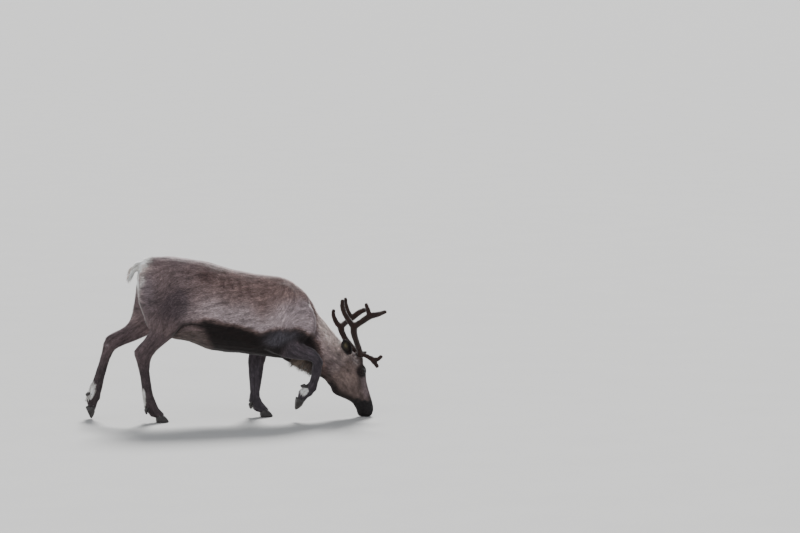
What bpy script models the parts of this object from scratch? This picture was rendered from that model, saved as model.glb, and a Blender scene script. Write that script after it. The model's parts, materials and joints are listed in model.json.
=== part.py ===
"""A grazing reindeer, life size, for Blender 4.5: metres, +Z up, +X towards the head, +Y to its left.

Flesh is lofted from named sections, fused, and parted into nodes by thin cuts.
Claws, dewclaws, eyes, ears and antlers are whole solids, seated in pockets of the flesh.
"""

import math
import random

import bmesh
import bpy
import numpy as np
from mathutils import Matrix, Vector
from mathutils.bvhtree import BVHTree

# Clearances
GAP = 0.0003
FLOOR_DEPTH = 0.2
SEAT_BLOCK = 0.046

# A section is (front x, front z, back x, back z, y, half width): front is the back line on the
# trunk, the nape and brow on the neck and head, and the leading edge on a leg.
TRUNK = [
    (-0.588, 0.940, -0.600, 0.830, 0, 0.072),
    (-0.560, 0.990, -0.575, 0.690, 0, 0.112),
    (-0.500, 1.014, -0.505, 0.580, 0, 0.140),
    (-0.400, 1.021, -0.395, 0.510, 0, 0.160),
    (-0.295, 1.007, -0.280, 0.485, 0, 0.178),
    (-0.185, 0.986, -0.175, 0.441, 0, 0.200),
    (-0.080, 0.958, -0.070, 0.420, 0, 0.205),
    (0.020, 0.930, 0.030, 0.411, 0, 0.198),
    (0.120, 0.907, 0.130, 0.397, 0, 0.182),
    (0.220, 0.896, 0.230, 0.382, 0, 0.160),
    (0.310, 0.880, 0.330, 0.370, 0, 0.135),
    (0.380, 0.845, 0.390, 0.360, 0, 0.110),
]
NECK = [
    (0.330, 0.865, 0.310, 0.430, 0, 0.130),
    (0.425, 0.806, 0.390, 0.365, 0, 0.122),
    (0.478, 0.735, 0.430, 0.322, 0, 0.108),
    (0.524, 0.652, 0.475, 0.286, 0, 0.096),
    (0.580, 0.582, 0.520, 0.266, 0, 0.087),
    (0.634, 0.514, 0.564, 0.232, 0, 0.079),
    (0.682, 0.460, 0.597, 0.190, 0, 0.072),
    (0.730, 0.400, 0.632, 0.162, 0, 0.056),
]
HEAD = [
    (0.674, 0.464, 0.596, 0.215, 0, 0.066),
    (0.730, 0.418, 0.608, 0.163, 0, 0.066),
    (0.787, 0.374, 0.634, 0.140, 0, 0.064),
    (0.821, 0.300, 0.666, 0.126, 0, 0.060),
    (0.828, 0.234, 0.706, 0.108, 0, 0.050),
    (0.841, 0.180, 0.738, 0.088, 0, 0.043),
    (0.856, 0.130, 0.757, 0.062, 0, 0.040),
    (0.870, 0.078, 0.775, 0.030, 0, 0.043),
    (0.868, 0.040, 0.796, 0.008, 0, 0.040),
    (0.856, 0.010, 0.820, -0.002, 0, 0.030),
]
HIND_RIGHT = [
    (-0.390, 0.920, -0.500, 0.930, -0.050, 0.045),
    (-0.330, 0.840, -0.585, 0.860, -0.078, 0.070),
    (-0.297, 0.760, -0.604, 0.775, -0.086, 0.079),
    (-0.287, 0.680, -0.580, 0.680, -0.095, 0.077),
    (-0.315, 0.600, -0.546, 0.592, -0.106, 0.064),
    (-0.396, 0.520, -0.534, 0.570, -0.114, 0.050),
    (-0.464, 0.466, -0.568, 0.516, -0.112, 0.043),
    (-0.502, 0.428, -0.609, 0.471, -0.110, 0.037),
    (-0.521, 0.395, -0.630, 0.436, -0.108, 0.036),
    (-0.529, 0.361, -0.618, 0.387, -0.107, 0.034),
    (-0.531, 0.314, -0.601, 0.321, -0.107, 0.030),
    (-0.525, 0.250, -0.589, 0.255, -0.107, 0.028),
    (-0.513, 0.180, -0.580, 0.180, -0.107, 0.028),
    (-0.493, 0.122, -0.569, 0.115, -0.107, 0.034),
]
HIND_LEFT = [
    (-0.390, 0.920, -0.500, 0.930, 0.050, 0.045),
    (-0.335, 0.840, -0.587, 0.860, 0.078, 0.070),
    (-0.330, 0.750, -0.608, 0.775, 0.086, 0.079),
    (-0.355, 0.665, -0.618, 0.710, 0.096, 0.075),
    (-0.420, 0.580, -0.628, 0.655, 0.114, 0.059),
    (-0.500, 0.530, -0.645, 0.610, 0.113, 0.050),
    (-0.580, 0.494, -0.676, 0.575, 0.111, 0.044),
    (-0.660, 0.465, -0.728, 0.545, 0.109, 0.039),
    (-0.724, 0.435, -0.780, 0.518, 0.107, 0.036),
    (-0.750, 0.400, -0.802, 0.478, 0.106, 0.036),
    (-0.767, 0.362, -0.815, 0.420, 0.106, 0.034),
    (-0.780, 0.320, -0.838, 0.345, 0.106, 0.030),
    (-0.796, 0.270, -0.860, 0.275, 0.106, 0.028),
    (-0.808, 0.215, -0.881, 0.215, 0.106, 0.028),
    (-0.820, 0.165, -0.896, 0.165, 0.106, 0.033),
]
FORE_RIGHT = [
    (0.250, 0.560, 0.180, 0.440, -0.118, 0.058),
    (0.330, 0.535, 0.290, 0.395, -0.124, 0.052),
    (0.415, 0.480, 0.372, 0.380, -0.132, 0.043),
    (0.485, 0.440, 0.432, 0.376, -0.138, 0.036),
    (0.534, 0.375, 0.468, 0.362, -0.140, 0.035),
    (0.530, 0.330, 0.468, 0.330, -0.140, 0.030),
    (0.522, 0.281, 0.461, 0.285, -0.140, 0.027),
    (0.508, 0.238, 0.446, 0.238, -0.140, 0.027),
    (0.494, 0.184, 0.412, 0.208, -0.140, 0.034),
]
FORE_LEFT = [
    (0.300, 0.610, 0.090, 0.600, 0.120, 0.058),
    (0.262, 0.510, 0.086, 0.512, 0.112, 0.052),
    (0.225, 0.420, 0.097, 0.420, 0.106, 0.044),
    (0.200, 0.350, 0.092, 0.350, 0.102, 0.040),
    (0.189, 0.295, 0.094, 0.295, 0.100, 0.037),
    (0.183, 0.250, 0.097, 0.250, 0.100, 0.035),
    (0.175, 0.200, 0.101, 0.200, 0.100, 0.029),
    (0.166, 0.155, 0.104, 0.155, 0.100, 0.027),
    (0.168, 0.113, 0.096, 0.105, 0.100, 0.033),
]
SHOULDER = [
    (0.340, 0.845, 0.230, 0.860, -0.050, 0.042),
    (0.425, 0.745, 0.225, 0.770, -0.082, 0.054),
    (0.490, 0.655, 0.205, 0.660, -0.098, 0.058),
    (0.492, 0.560, 0.180, 0.560, -0.108, 0.056),
    (0.435, 0.495, 0.165, 0.480, -0.114, 0.050),
]

BRISKET = [
    (0.240, 0.600, 0.240, 0.420, 0, 0.070),
    (0.320, 0.580, 0.325, 0.356, 0, 0.076),
    (0.385, 0.560, 0.385, 0.343, 0, 0.072),
    (0.450, 0.520, 0.450, 0.322, 0, 0.060),
    (0.500, 0.480, 0.490, 0.312, 0, 0.048),
]

# Where each foot turns: the fetlock's centre, and how far the foot is turned from standing.
STANCE = {
    "hind_right": (Vector((-0.531, -0.107, 0.105)), 0),
    "hind_left": (Vector((-0.858, 0.106, 0.156)), 58),
    "fore_right": (Vector((0.452, -0.140, 0.196)), 84),
    "fore_left": (Vector((0.132, 0.100, 0.105)), 0),
}
FETLOCK_HEIGHT = 0.105
CLAW_SPREAD = 0.0225
CLAW_TIP = Vector((0.116, 0, 0.004))
CLAW_BEND = {"fore_right": 12, "hind_left": 8}

# The head looks a little away from the camera, about a pivot in the nape.
HEAD_TURN = 12
NAPE = Vector((0.620, 0, 0))

# Points on the head, before it turns.
EYE = Vector((0.784, 0.0600, 0.286))
EYE_RADIUS = 0.0185
LID_RADIUS = 0.0205
LID_HEIGHT = 0.0042
MOUTH_DEPTH = 0.0050
NOSTRIL_DEPTH = 0.0110
EAR_ROOT = Vector((0.700, 0.056, 0.408))
EAR_TIP = Vector((0.634, 0.146, 0.496))
EAR_WIDTH = 0.064
NOSTRIL = [(0.866, 0.026, 0.062), (0.858, 0.034, 0.046), (0.846, 0.038, 0.040)]
MOUTH = [(0.838, 0.014, 0.012), (0.818, 0.036, 0.024), (0.796, 0.043, 0.048), (0.776, 0.044, 0.082)]

# Each antler branch is a run of (x, y, z, radius), in its real place.
ANTLERS = {
    "right": {
        "beam": [
            (0.766, 0.004, 0.340, 0.0185),
            (0.778, 0.001, 0.378, 0.0190),
            (0.781, -0.003, 0.408, 0.0185),
            (0.770, -0.016, 0.440, 0.0185),
            (0.754, -0.040, 0.480, 0.0190),
            (0.738, -0.066, 0.528, 0.0210),
            (0.734, -0.082, 0.575, 0.0235),
        ],
        "rear": [
            (0.734, -0.082, 0.575, 0.0220),
            (0.706, -0.094, 0.610, 0.0175),
            (0.677, -0.098, 0.655, 0.0160),
            (0.662, -0.096, 0.700, 0.0155),
            (0.664, -0.086, 0.738, 0.0135),
        ],
        "front": [
            (0.734, -0.082, 0.575, 0.0220),
            (0.776, -0.104, 0.605, 0.0200),
            (0.828, -0.120, 0.642, 0.0210),
            (0.875, -0.116, 0.652, 0.0175),
            (0.930, -0.097, 0.667, 0.0120),
        ],
        "prong": [
            (0.828, -0.120, 0.640, 0.0170),
            (0.819, -0.120, 0.680, 0.0145),
            (0.807, -0.112, 0.717, 0.0120),
        ],
        "brow": [
            (0.782, -0.003, 0.400, 0.0165),
            (0.826, 0.003, 0.381, 0.0145),
            (0.868, 0.008, 0.357, 0.0180),
        ],
        "brow_upper": [
            (0.862, 0.008, 0.357, 0.0165),
            (0.896, 0.012, 0.361, 0.0145),
            (0.918, 0.018, 0.378, 0.0125),
        ],
        "brow_lower": [
            (0.862, 0.008, 0.355, 0.0170),
            (0.880, 0.010, 0.332, 0.0150),
            (0.892, 0.014, 0.313, 0.0125),
        ],
    },
    "left": {
        "beam": [
            (0.752, 0.068, 0.340, 0.0185),
            (0.762, 0.072, 0.378, 0.0190),
            (0.758, 0.080, 0.406, 0.0180),
            (0.738, 0.096, 0.436, 0.0180),
            (0.708, 0.122, 0.474, 0.0185),
            (0.687, 0.148, 0.516, 0.0200),
            (0.680, 0.162, 0.550, 0.0215),
        ],
        "rear": [
            (0.680, 0.162, 0.550, 0.0200),
            (0.656, 0.172, 0.572, 0.0165),
            (0.641, 0.176, 0.604, 0.0145),
            (0.634, 0.174, 0.632, 0.0135),
            (0.636, 0.166, 0.655, 0.0110),
        ],
        "front": [
            (0.680, 0.162, 0.550, 0.0200),
            (0.712, 0.182, 0.574, 0.0180),
            (0.756, 0.196, 0.602, 0.0190),
            (0.796, 0.1975, 0.634, 0.0185),
            (0.834, 0.192, 0.652, 0.0160),
        ],
        "prong": [
            (0.748, 0.194, 0.600, 0.0160),
            (0.730, 0.198, 0.644, 0.0140),
            (0.716, 0.192, 0.688, 0.0130),
            (0.712, 0.184, 0.725, 0.0115),
        ],
        "brow": [
            (0.758, 0.078, 0.400, 0.0160),
            (0.800, 0.086, 0.392, 0.0130),
            (0.830, 0.092, 0.396, 0.0100),
        ],
    },
}

# The tail's core, under its locks, from the rump to near the tip.
TAIL = [
    (-0.530, 1.000, -0.552, 0.950, 0, 0.020),
    (-0.578, 0.992, -0.580, 0.950, 0, 0.020),
    (-0.608, 0.976, -0.594, 0.936, 0, 0.020),
    (-0.632, 0.948, -0.610, 0.920, 0, 0.018),
    (-0.646, 0.915, -0.626, 0.900, 0, 0.011),
]

# Locks of hair: how many rows and how many round or across, and their sizes.
LOCK_SEED = 7
TAIL_ROWS = 4
TAIL_ROUND = 5
TAIL_LOCK = (0.060, 0.038, 0.010)
MANE_ROWS = 6
MANE_ACROSS = 4
MANE_SPAN = (0.408, 0.492)
MANE_LOCK = (0.042, 0.034, 0.009)

# Where the tail, the head and the neck are parted off, as corners of (x, z).
TAIL_ROOM = [(-0.556, 1.060), (-0.576, 0.950), (-0.615, 0.830), (-0.800, 0.830), (-0.800, 1.060)]
HEAD_ROOM = [(0.715, 0.600), (0.560, 0.100), (0.560, -0.200), (1.100, -0.200), (1.100, 0.600)]
NECK_ROOM = [(0.360, 1.000), (0.388, 0.250), (0.900, 0.000), (0.900, 1.000)]

# Each leg's room in the body, as corners of (x, z, nearest y) on its own side.
LEG_ROOM = {
    "hind_right": [
        (-0.290, 0.800, 0.078),
        (-0.262, 0.700, 0.070),
        (-0.300, 0.585, 0.055),
        (-0.380, 0.500, 0.040),
        (-0.380, -0.100, 0.010),
        (-0.720, -0.100, 0.010),
        (-0.720, 0.500, 0.040),
        (-0.660, 0.800, 0.078),
    ],
    "hind_left": [
        (-0.300, 0.800, 0.078),
        (-0.290, 0.700, 0.070),
        (-0.340, 0.600, 0.056),
        (-0.400, 0.520, 0.042),
        (-0.480, -0.100, 0.010),
        (-1.000, -0.100, 0.010),
        (-0.900, 0.500, 0.040),
        (-0.700, 0.800, 0.078),
    ],
    "fore_right": [
        (0.262, 0.600, 0.125),
        (0.225, 0.400, 0.085),
        (0.200, -0.100, 0.075),
        (0.620, -0.100, 0.075),
        (0.620, 0.420, 0.112),
    ],
    "fore_left": [
        (0.070, 0.530, 0.105),
        (0.310, 0.530, 0.105),
        (0.030, 0.385, 0.045),
        (0.300, 0.385, 0.045),
        (0.000, -0.100, 0.010),
        (0.300, -0.100, 0.010),
    ],
}
# The sections at which a leg is parted, and its nodes from the top down.
LEG_JOINTS = {
    "hind_right": (HIND_RIGHT, {5: "thigh", 9: "shank", 12: "cannon"}),
    "hind_left": (HIND_LEFT, {5: "thigh", 10: "shank", 13: "cannon"}),
    "fore_right": (FORE_RIGHT, {5: "forearm", 7: "cannon"}),
    "fore_left": (FORE_LEFT, {5: "forearm", 7: "cannon"}),
}

FINISHES = {
    "coat": ((0.090, 0.070, 0.060), 0.85),
    "dark_coat": ((0.030, 0.024, 0.023), 0.80),
    "white_hair": ((0.620, 0.580, 0.530), 0.90),
    "velvet": ((0.030, 0.020, 0.018), 0.90),
    "claw": ((0.018, 0.016, 0.016), 0.45),
    "eye": ((0.010, 0.012, 0.018), 0.08),
}

random.seed(LOCK_SEED)
for old in list(bpy.data.objects):
    bpy.data.objects.remove(old)


def collection(name):
    made = bpy.data.collections.new(name)
    bpy.context.scene.collection.children.link(made)
    return made


PARTS = collection("Reindeer")
CUTTERS = collection("Cutters")
CUTTERS.hide_render = True


def material(name):
    """The named finish as a Principled material, made once."""
    if name in bpy.data.materials:
        return bpy.data.materials[name]
    colour, roughness = FINISHES[name]
    made = bpy.data.materials.new(name)
    made.use_nodes = True
    shader = made.node_tree.nodes["Principled BSDF"]
    shader.inputs["Base Color"].default_value = (*colour, 1)
    shader.inputs["Roughness"].default_value = roughness
    return made


def add(name, mesh, home=PARTS):
    """A new object of that mesh in a collection."""
    made = bpy.data.objects.new(name, mesh)
    home.objects.link(made)
    return made


def finish(obj, surface):
    obj.data.materials.clear()
    obj.data.materials.append(material(surface))
    obj.data.shade_smooth()
    obj.data.set_sharp_from_angle(angle=math.radians(50))
    return obj


def applied(obj):
    """The object with its modifiers made part of its mesh."""
    bpy.context.view_layer.update()
    graph = bpy.context.evaluated_depsgraph_get()
    baked = bpy.data.meshes.new_from_object(obj.evaluated_get(graph))
    obj.modifiers.clear()
    obj.data = baked
    return obj


def resampled(rows, steps):
    """The rows, with steps - 1 more between each two, on a smooth curve through them."""
    rows = np.array(rows, float)
    padded = np.vstack([2 * rows[0] - rows[1], rows, 2 * rows[-1] - rows[-2]])
    out = []
    for i in range(len(rows) - 1):
        p0, p1, p2, p3 = padded[i : i + 4]
        for t in np.arange(steps) / steps:
            out.append(
                p1
                + 0.5 * t * (p2 - p0)
                + t**2 * (p0 - 2.5 * p1 + 2 * p2 - 0.5 * p3)
                + t**3 * (1.5 * (p1 - p2) + 0.5 * (p3 - p0))
            )
    return np.array(out + [rows[-1]])


def skin_rings(name, rings, home=CUTTERS):
    """A closed mesh through rings that all have the same number of points."""
    count = len(rings[0])
    bm = bmesh.new()
    made = [[bm.verts.new(p) for p in ring] for ring in rings]
    for near, far in zip(made, made[1:]):
        for k in range(count):
            bm.faces.new((near[k], near[(k + 1) % count], far[(k + 1) % count], far[k]))
    bm.faces.new(made[0][::-1])
    bm.faces.new(made[-1])
    bmesh.ops.recalc_face_normals(bm, faces=bm.faces)
    mesh = bpy.data.meshes.new(name)
    bm.to_mesh(mesh)
    bm.free()
    return add(name, mesh, home)


def loft(name, sections, square=2.2, pear=0.0, turns=None, count=28, steps=4):
    """A closed body through sections; pear above 0 narrows its front side, below 0 its back side."""
    rows = np.column_stack([sections, turns if turns else [0] * len(sections)])
    angles = np.arange(count) * 2 * math.pi / count
    along = np.sign(np.cos(angles)) * np.abs(np.cos(angles)) ** (2 / square)
    across = np.sign(np.sin(angles)) * np.abs(np.sin(angles)) ** (2 / square)
    rings = []
    for fx, fz, bx, bz, y, half, turn in resampled(rows, steps):
        about = turned(turn)
        middle = Vector(((fx + bx) / 2, y, (fz + bz) / 2))
        reach = Vector(((fx - bx) / 2, 0, (fz - bz) / 2))
        side = [Vector((0, half * s * (1 - pear * c), 0)) for c, s in zip(along, across)]
        rings.append([about @ (middle + reach * c + out) for c, out in zip(along, side)])
    return skin_rings(name, rings)


def turned(degrees):
    """The turn of the head about the nape, by so many degrees."""
    turn = Matrix.Rotation(math.radians(degrees), 4, "Z")
    return Matrix.Translation(NAPE) @ turn @ Matrix.Translation(-NAPE)


def tube(name, points, flat=1.0, count=12, steps=4):
    """A closed round tube through points of (x, y, z, radius), with rounded ends."""
    rows = resampled(points, steps)
    rings = []
    ends = [(-0.6, 0.62), (-0.25, 0.9)]
    spine = [Vector(r[:3]) for r in rows]
    for i, (at, radius) in enumerate(zip(spine, rows[:, 3])):
        ahead = (spine[min(i + 1, len(spine) - 1)] - spine[max(i - 1, 0)]).normalized()
        side = ahead.cross(Vector((0, 1, 0))).normalized()
        other = ahead.cross(side)
        shifts = [(0, 1)]
        if i == 0:
            shifts = ends + shifts
        if i == len(spine) - 1:
            shifts = shifts + [(-s, k) for s, k in ends[::-1]]
        for shift, share in shifts:
            centre = at + ahead * shift * radius
            rings.append(
                [
                    centre
                    + (side * math.cos(a) + other * math.sin(a) * flat) * radius * share
                    for a in np.arange(count) * 2 * math.pi / count
                ]
            )
    return skin_rings(name, rings)


def ball(name, centre, radii, turn=None, detail=24):
    """A closed ellipsoid, in the cutters' collection."""
    bm = bmesh.new()
    bmesh.ops.create_uvsphere(bm, u_segments=detail, v_segments=detail // 2, radius=1)
    bmesh.ops.scale(bm, vec=radii, verts=bm.verts)
    if turn:
        bmesh.ops.rotate(bm, matrix=turn, verts=bm.verts)
    bmesh.ops.translate(bm, vec=centre, verts=bm.verts)
    mesh = bpy.data.meshes.new(name)
    bm.to_mesh(mesh)
    bm.free()
    return add(name, mesh, CUTTERS)


def joined(name, pieces, home=CUTTERS):
    """One object that holds the pieces' meshes, which are removed."""
    bm = bmesh.new()
    for piece in pieces:
        mesh = piece.data.copy()
        mesh.transform(piece.matrix_world)
        bm.from_mesh(mesh)
        bpy.data.meshes.remove(mesh)
        bpy.data.objects.remove(piece)
    mesh = bpy.data.meshes.new(name)
    bm.to_mesh(mesh)
    bm.free()
    return add(name, mesh, home)


def fused(name, pieces, voxel, smooth, home=PARTS):
    """The pieces as one closed surface, with soft joins."""
    whole = joined(name, pieces, home)
    remesh = whole.modifiers.new("Fuse", "REMESH")
    remesh.mode = "VOXEL"
    remesh.voxel_size = voxel
    soften = whole.modifiers.new("Soften", "SMOOTH")
    soften.factor = 0.5
    soften.iterations = smooth
    return applied(whole)


def coarser(obj, triangles):
    """The object with about that many triangles."""
    sides = sum(len(p.vertices) - 2 for p in obj.data.polygons)
    fewer = obj.modifiers.new("Fewer", "DECIMATE")
    fewer.ratio = triangles / sides
    return applied(obj)


def shifted(obj, amount):
    """Moves each point of the object along its normal by what amount gives for it."""
    mesh = obj.data
    places = np.empty(len(mesh.vertices) * 3, np.float32)
    normals = np.empty(len(mesh.vertices) * 3, np.float32)
    mesh.vertices.foreach_get("co", places)
    mesh.vertices.foreach_get("normal", normals)
    places = places.reshape(-1, 3)
    places += normals.reshape(-1, 3) * amount(places)[:, None]
    mesh.vertices.foreach_set("co", places.ravel())
    mesh.update()
    return obj


def near_path(places, path):
    """How far each place is from a line through the path's points."""
    path = resampled(path, 5)
    found = np.full(len(places), 9.0)
    for a, b in zip(path, path[1:]):
        t = np.clip((places - a) @ (b - a) / ((b - a) @ (b - a)), 0, 1)
        found = np.minimum(found, np.linalg.norm(places - a - t[:, None] * (b - a), axis=1))
    return found


def boolean(obj, operation, others, solver="EXACT"):
    """The object cut by, or joined with, the other objects, which are removed."""
    home = collection("Working")
    for other in others:
        for old in list(other.users_collection):
            old.objects.unlink(other)
        home.objects.link(other)
    change = obj.modifiers.new(operation.title(), "BOOLEAN")
    change.operation = operation
    change.operand_type = "COLLECTION"
    change.collection = home
    change.solver = solver
    applied(obj)
    for other in others:
        bpy.data.objects.remove(other)
    bpy.data.collections.remove(home)
    return obj


def grown(obj, by):
    """A copy of the object, larger by that much all round."""
    copy = add(obj.name + "_room", obj.data.copy(), CUTTERS)
    return shifted(copy, lambda places: np.full(len(places), by, np.float32))


def slab(at, normal, wide, high, thick=GAP):
    """A thin box across a limb, about a point, square to the normal."""
    bm = bmesh.new()
    bmesh.ops.create_cube(bm, size=1)
    bmesh.ops.scale(bm, vec=(high, wide, thick), verts=bm.verts)
    face = Vector(normal).normalized()
    side = Vector((0, 1, 0)) if abs(face.y) < 0.9 else Vector((0, 0, 1))
    side = (side - face * side.dot(face)).normalized()
    turn = Matrix((side.cross(face), side, face)).transposed()
    bmesh.ops.rotate(bm, matrix=turn, verts=bm.verts)
    bmesh.ops.translate(bm, vec=at, verts=bm.verts)
    mesh = bpy.data.meshes.new("slab")
    bm.to_mesh(mesh)
    bm.free()
    return add("slab", mesh, CUTTERS)


def split(obj, names):
    """Parts the object into its loose bodies, each named for the nearest place in names."""
    bm = bmesh.new()
    bm.from_mesh(obj.data)
    bpy.data.objects.remove(obj)
    left = set(bm.verts)
    bodies = {}
    while left:
        shell, edge = set(), [left.pop()]
        while edge:
            vert = edge.pop()
            shell.add(vert)
            for link in vert.link_edges:
                other = link.other_vert(vert)
                if other in left:
                    left.remove(other)
                    edge.append(other)
        centre = sum((v.co for v in shell), Vector()) / len(shell)
        name = min(names, key=lambda n: (Vector(names[n]) - centre).length)
        if len(shell) > len(bodies.get(name, ())):
            bodies[name] = shell
    made = {}
    for name, shell in bodies.items():
        part = bm.copy()
        keep = {v.index for v in shell}
        part.verts.ensure_lookup_table()
        bmesh.ops.delete(part, geom=[v for v in part.verts if v.index not in keep], context="VERTS")
        mesh = bpy.data.meshes.new(name)
        part.to_mesh(mesh)
        part.free()
        made[name] = add(name, mesh)
    bm.free()
    return made


def foot_place(leg):
    """The matrix that sets a foot, modelled standing with its fetlock over the origin, on its leg."""
    fetlock, degrees = STANCE[leg]
    turn = Matrix.Rotation(math.radians(degrees), 4, "Y")
    return Matrix.Translation(fetlock) @ turn @ Matrix.Translation((0, 0, -FETLOCK_HEIGHT))


def about(spot, degrees):
    """A turn about the y axis through a spot."""
    turn = Matrix.Rotation(math.radians(degrees), 4, "Y")
    return Matrix.Translation(spot) @ turn @ Matrix.Translation(-spot)


def pastern(leg):
    """The flesh from the fetlock to the top of the claws."""
    sections = [
        (0.040, 0.120, -0.040, 0.104, 0, 0.034),
        (0.052, 0.092, -0.022, 0.070, 0, 0.033),
        (0.074, 0.066, 0.000, 0.040, 0, 0.037),
        (0.086, 0.052, 0.020, 0.032, 0, 0.038),
        (0.086, 0.040, 0.034, 0.027, 0, 0.027),
    ]
    made = loft("pastern_" + leg, sections, steps=3, count=20)
    made.data.transform(foot_place(leg))
    return made


def claw(leg, side):
    """One horny toe: rings from its rounded top to a flat, pointed sole."""
    levels = [
        (0.048, 0.022, 0.065, 0.0105),
        (0.035, 0.033, 0.071, 0.0160),
        (0.018, 0.0390, 0.0745, 0.0180),
        (0.006, 0.0405, 0.0755, 0.0180),
        (0.000, 0.0350, 0.0735, 0.0150),
    ]
    rings = []
    for height, half, middle, wide in levels:
        ring = []
        for a in np.arange(10) * 2 * math.pi / 10:
            taper = 1 - 0.35 * max(math.cos(a), 0)
            ring.append(
                (
                    middle + half * math.cos(a),
                    side * CLAW_SPREAD - side * 0.006 * max(math.cos(a), 0) + wide * math.sin(a) * taper,
                    height + 0.3 * half * -math.cos(a) * min(height / 0.03, 1),
                )
            )
        rings.append(ring)
    made = skin_rings("claw", rings, PARTS)
    made.data.transform(foot_place(leg) @ about(CLAW_TIP, CLAW_BEND.get(leg, 0)))
    return made


def dewclaw(leg, side):
    """The small toe behind the fetlock."""
    points = [
        (-0.016, side * 0.016, 0.093, 0.0090),
        (-0.027, side * 0.020, 0.076, 0.0105),
        (-0.024, side * 0.022, 0.057, 0.0075),
    ]
    made = tube("dewclaw", points, count=6, steps=1)
    made.data.transform(foot_place(leg))
    return made


def ear(side):
    """A cupped leaf on a solid root: a bent sheet with thickness, joined to a stalk."""
    root, tip = EAR_ROOT.copy(), EAR_TIP.copy()
    axis = (tip - root).normalized()
    mouth = Vector((0.12, 0.93, -0.20))
    mouth = (mouth - axis * mouth.dot(axis)).normalized()
    wide = axis.cross(mouth)
    length = (tip - root).length
    long_steps, round_steps = 9, 8
    bm = bmesh.new()
    grid = []
    for i in range(long_steps + 1):
        u = i / long_steps
        half = EAR_WIDTH / 2 * (0.34 + 0.66 * math.sin(math.pi * min(u * 0.62 + 0.12, 1)) ** 1.2)
        half *= math.sqrt(max(1 - ((u - 0.55) / 0.452) ** 2, 0.02)) if u > 0.55 else 1
        bend = math.radians(150 - 75 * min(u * 1.5, 1))
        row = []
        for j in range(round_steps + 1):
            a = bend * (2 * j / round_steps - 1)
            out = wide * math.sin(a) * half + mouth * (1 - math.cos(a)) * half * 0.55
            row.append(bm.verts.new(root + axis * length * u + out - mouth * half * 0.45))
        grid.append(row)
    for near, far in zip(grid, grid[1:]):
        for j in range(round_steps):
            bm.faces.new((near[j], near[j + 1], far[j + 1], far[j]))
    mesh = bpy.data.meshes.new("ear")
    bm.to_mesh(mesh)
    bm.free()
    leaf = add("ear", mesh)
    thick = leaf.modifiers.new("Thick", "SOLIDIFY")
    thick.thickness = 0.0045
    thick.offset = 0
    thick.use_even_offset = True
    applied(leaf)
    stalk = [
        (*(root - axis * 0.022), 0.0150),
        (*(root - axis * 0.010), 0.0140),
        (*root, 0.0110),
    ]
    leaf = fused("ear", [leaf, tube("stalk", stalk, steps=3)], 0.0016, 3)
    coarser(leaf, 290)
    if side < 0:
        leaf.data.transform(Matrix.Diagonal((1, -1, 1, 1)))
        leaf.data.flip_normals()
    leaf.data.transform(turned(HEAD_TURN))
    return leaf


def antler_seat(side, way):
    """A block over (1) or under (-1) the joint of antler and skull."""
    low, seat, high = (Vector(p[:3]) for p in ANTLERS[side]["beam"][:3])
    along = (high - low).normalized()
    start = GAP if way < 0 else 0
    return slab(seat + along * (start + way * SEAT_BLOCK / 2), along, SEAT_BLOCK, SEAT_BLOCK, SEAT_BLOCK)


def antler(side):
    """The whole antler, then parted at its main forks."""
    branches = ANTLERS[side]
    flat = {"brow": 0.75, "brow_upper": 0.75, "brow_lower": 0.75}
    tubes = [tube(name, points, flat.get(name, 1)) for name, points in branches.items()]
    whole = fused("antler", tubes, 0.0035, 5)
    coarser(whole, 620)
    cuts = [antler_seat(side, -1)]
    places = {}
    for name in ("rear", "front", "brow"):
        first, second = (Vector(p[:3]) for p in branches[name][:2])
        along = (second - first).normalized()
        root = 0.028 if name != "brow" else 0.027
        cuts.append(slab(first + along * root, along, 0.064, 0.064))
        end = Vector(branches[name][-2][:3])
        places[f"antler_{side}_{name}"] = end
    places[f"antler_{side}_beam"] = Vector(branches["beam"][3][:3])
    boolean(whole, "DIFFERENCE", cuts)
    return split(whole, places)


def lock(root, along, out, size):
    """A flat tapered lock that leaves its sunk root and bends back along the coat's lie."""
    length, wide, thick = size
    along = along.normalized()
    side = along.cross(out).normalized()
    out = side.cross(along)
    rings = []
    for t, share in ((-0.2, 0.85), (0.2, 1.0), (0.62, 0.72), (1.0, 0.12)):
        centre = root + along * length * t + out * length * 0.10 * math.sin(math.pi * max(t, 0))
        half = side * wide / 2 * share
        deep = out * thick / 2 * (1.15 - t * 0.8) * (1 if t < 1 else 0.5)
        rings.append([centre + half, centre + deep, centre - half, centre - deep])
    return skin_rings("lock", rings)


def mane_locks(target):
    """Locks along the underside of throat and brisket, longest in the middle, hanging down and back."""
    tree = BVHTree.FromObject(target, bpy.context.evaluated_depsgraph_get())
    made = []
    for i in range(MANE_ROWS):
        share = i / (MANE_ROWS - 1)
        for j in range(MANE_ACROSS):
            x = MANE_SPAN[0] + (MANE_SPAN[1] - MANE_SPAN[0]) * (share + random.uniform(-0.05, 0.05))
            y = 0.024 * (j - (MANE_ACROSS - 1) / 2 + 0.5 * (i % 2) - 0.25)
            hit, out, _, _ = tree.ray_cast(Vector((x, y, 0)), Vector((0, 0, 1)))
            if hit is None or out.z > -0.4:
                continue
            length = MANE_LOCK[0] * (0.72 + 0.5 * math.sin(math.pi * share) ** 0.7 - 7 * abs(y) * 0.8)
            along = Vector((-0.75, y * 5, -0.80 - 0.3 * math.sin(math.pi * share)))
            size = (length * random.uniform(0.9, 1.1), *MANE_LOCK[1:])
            made.append(lock(hit, along, out, size))
    return made


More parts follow.
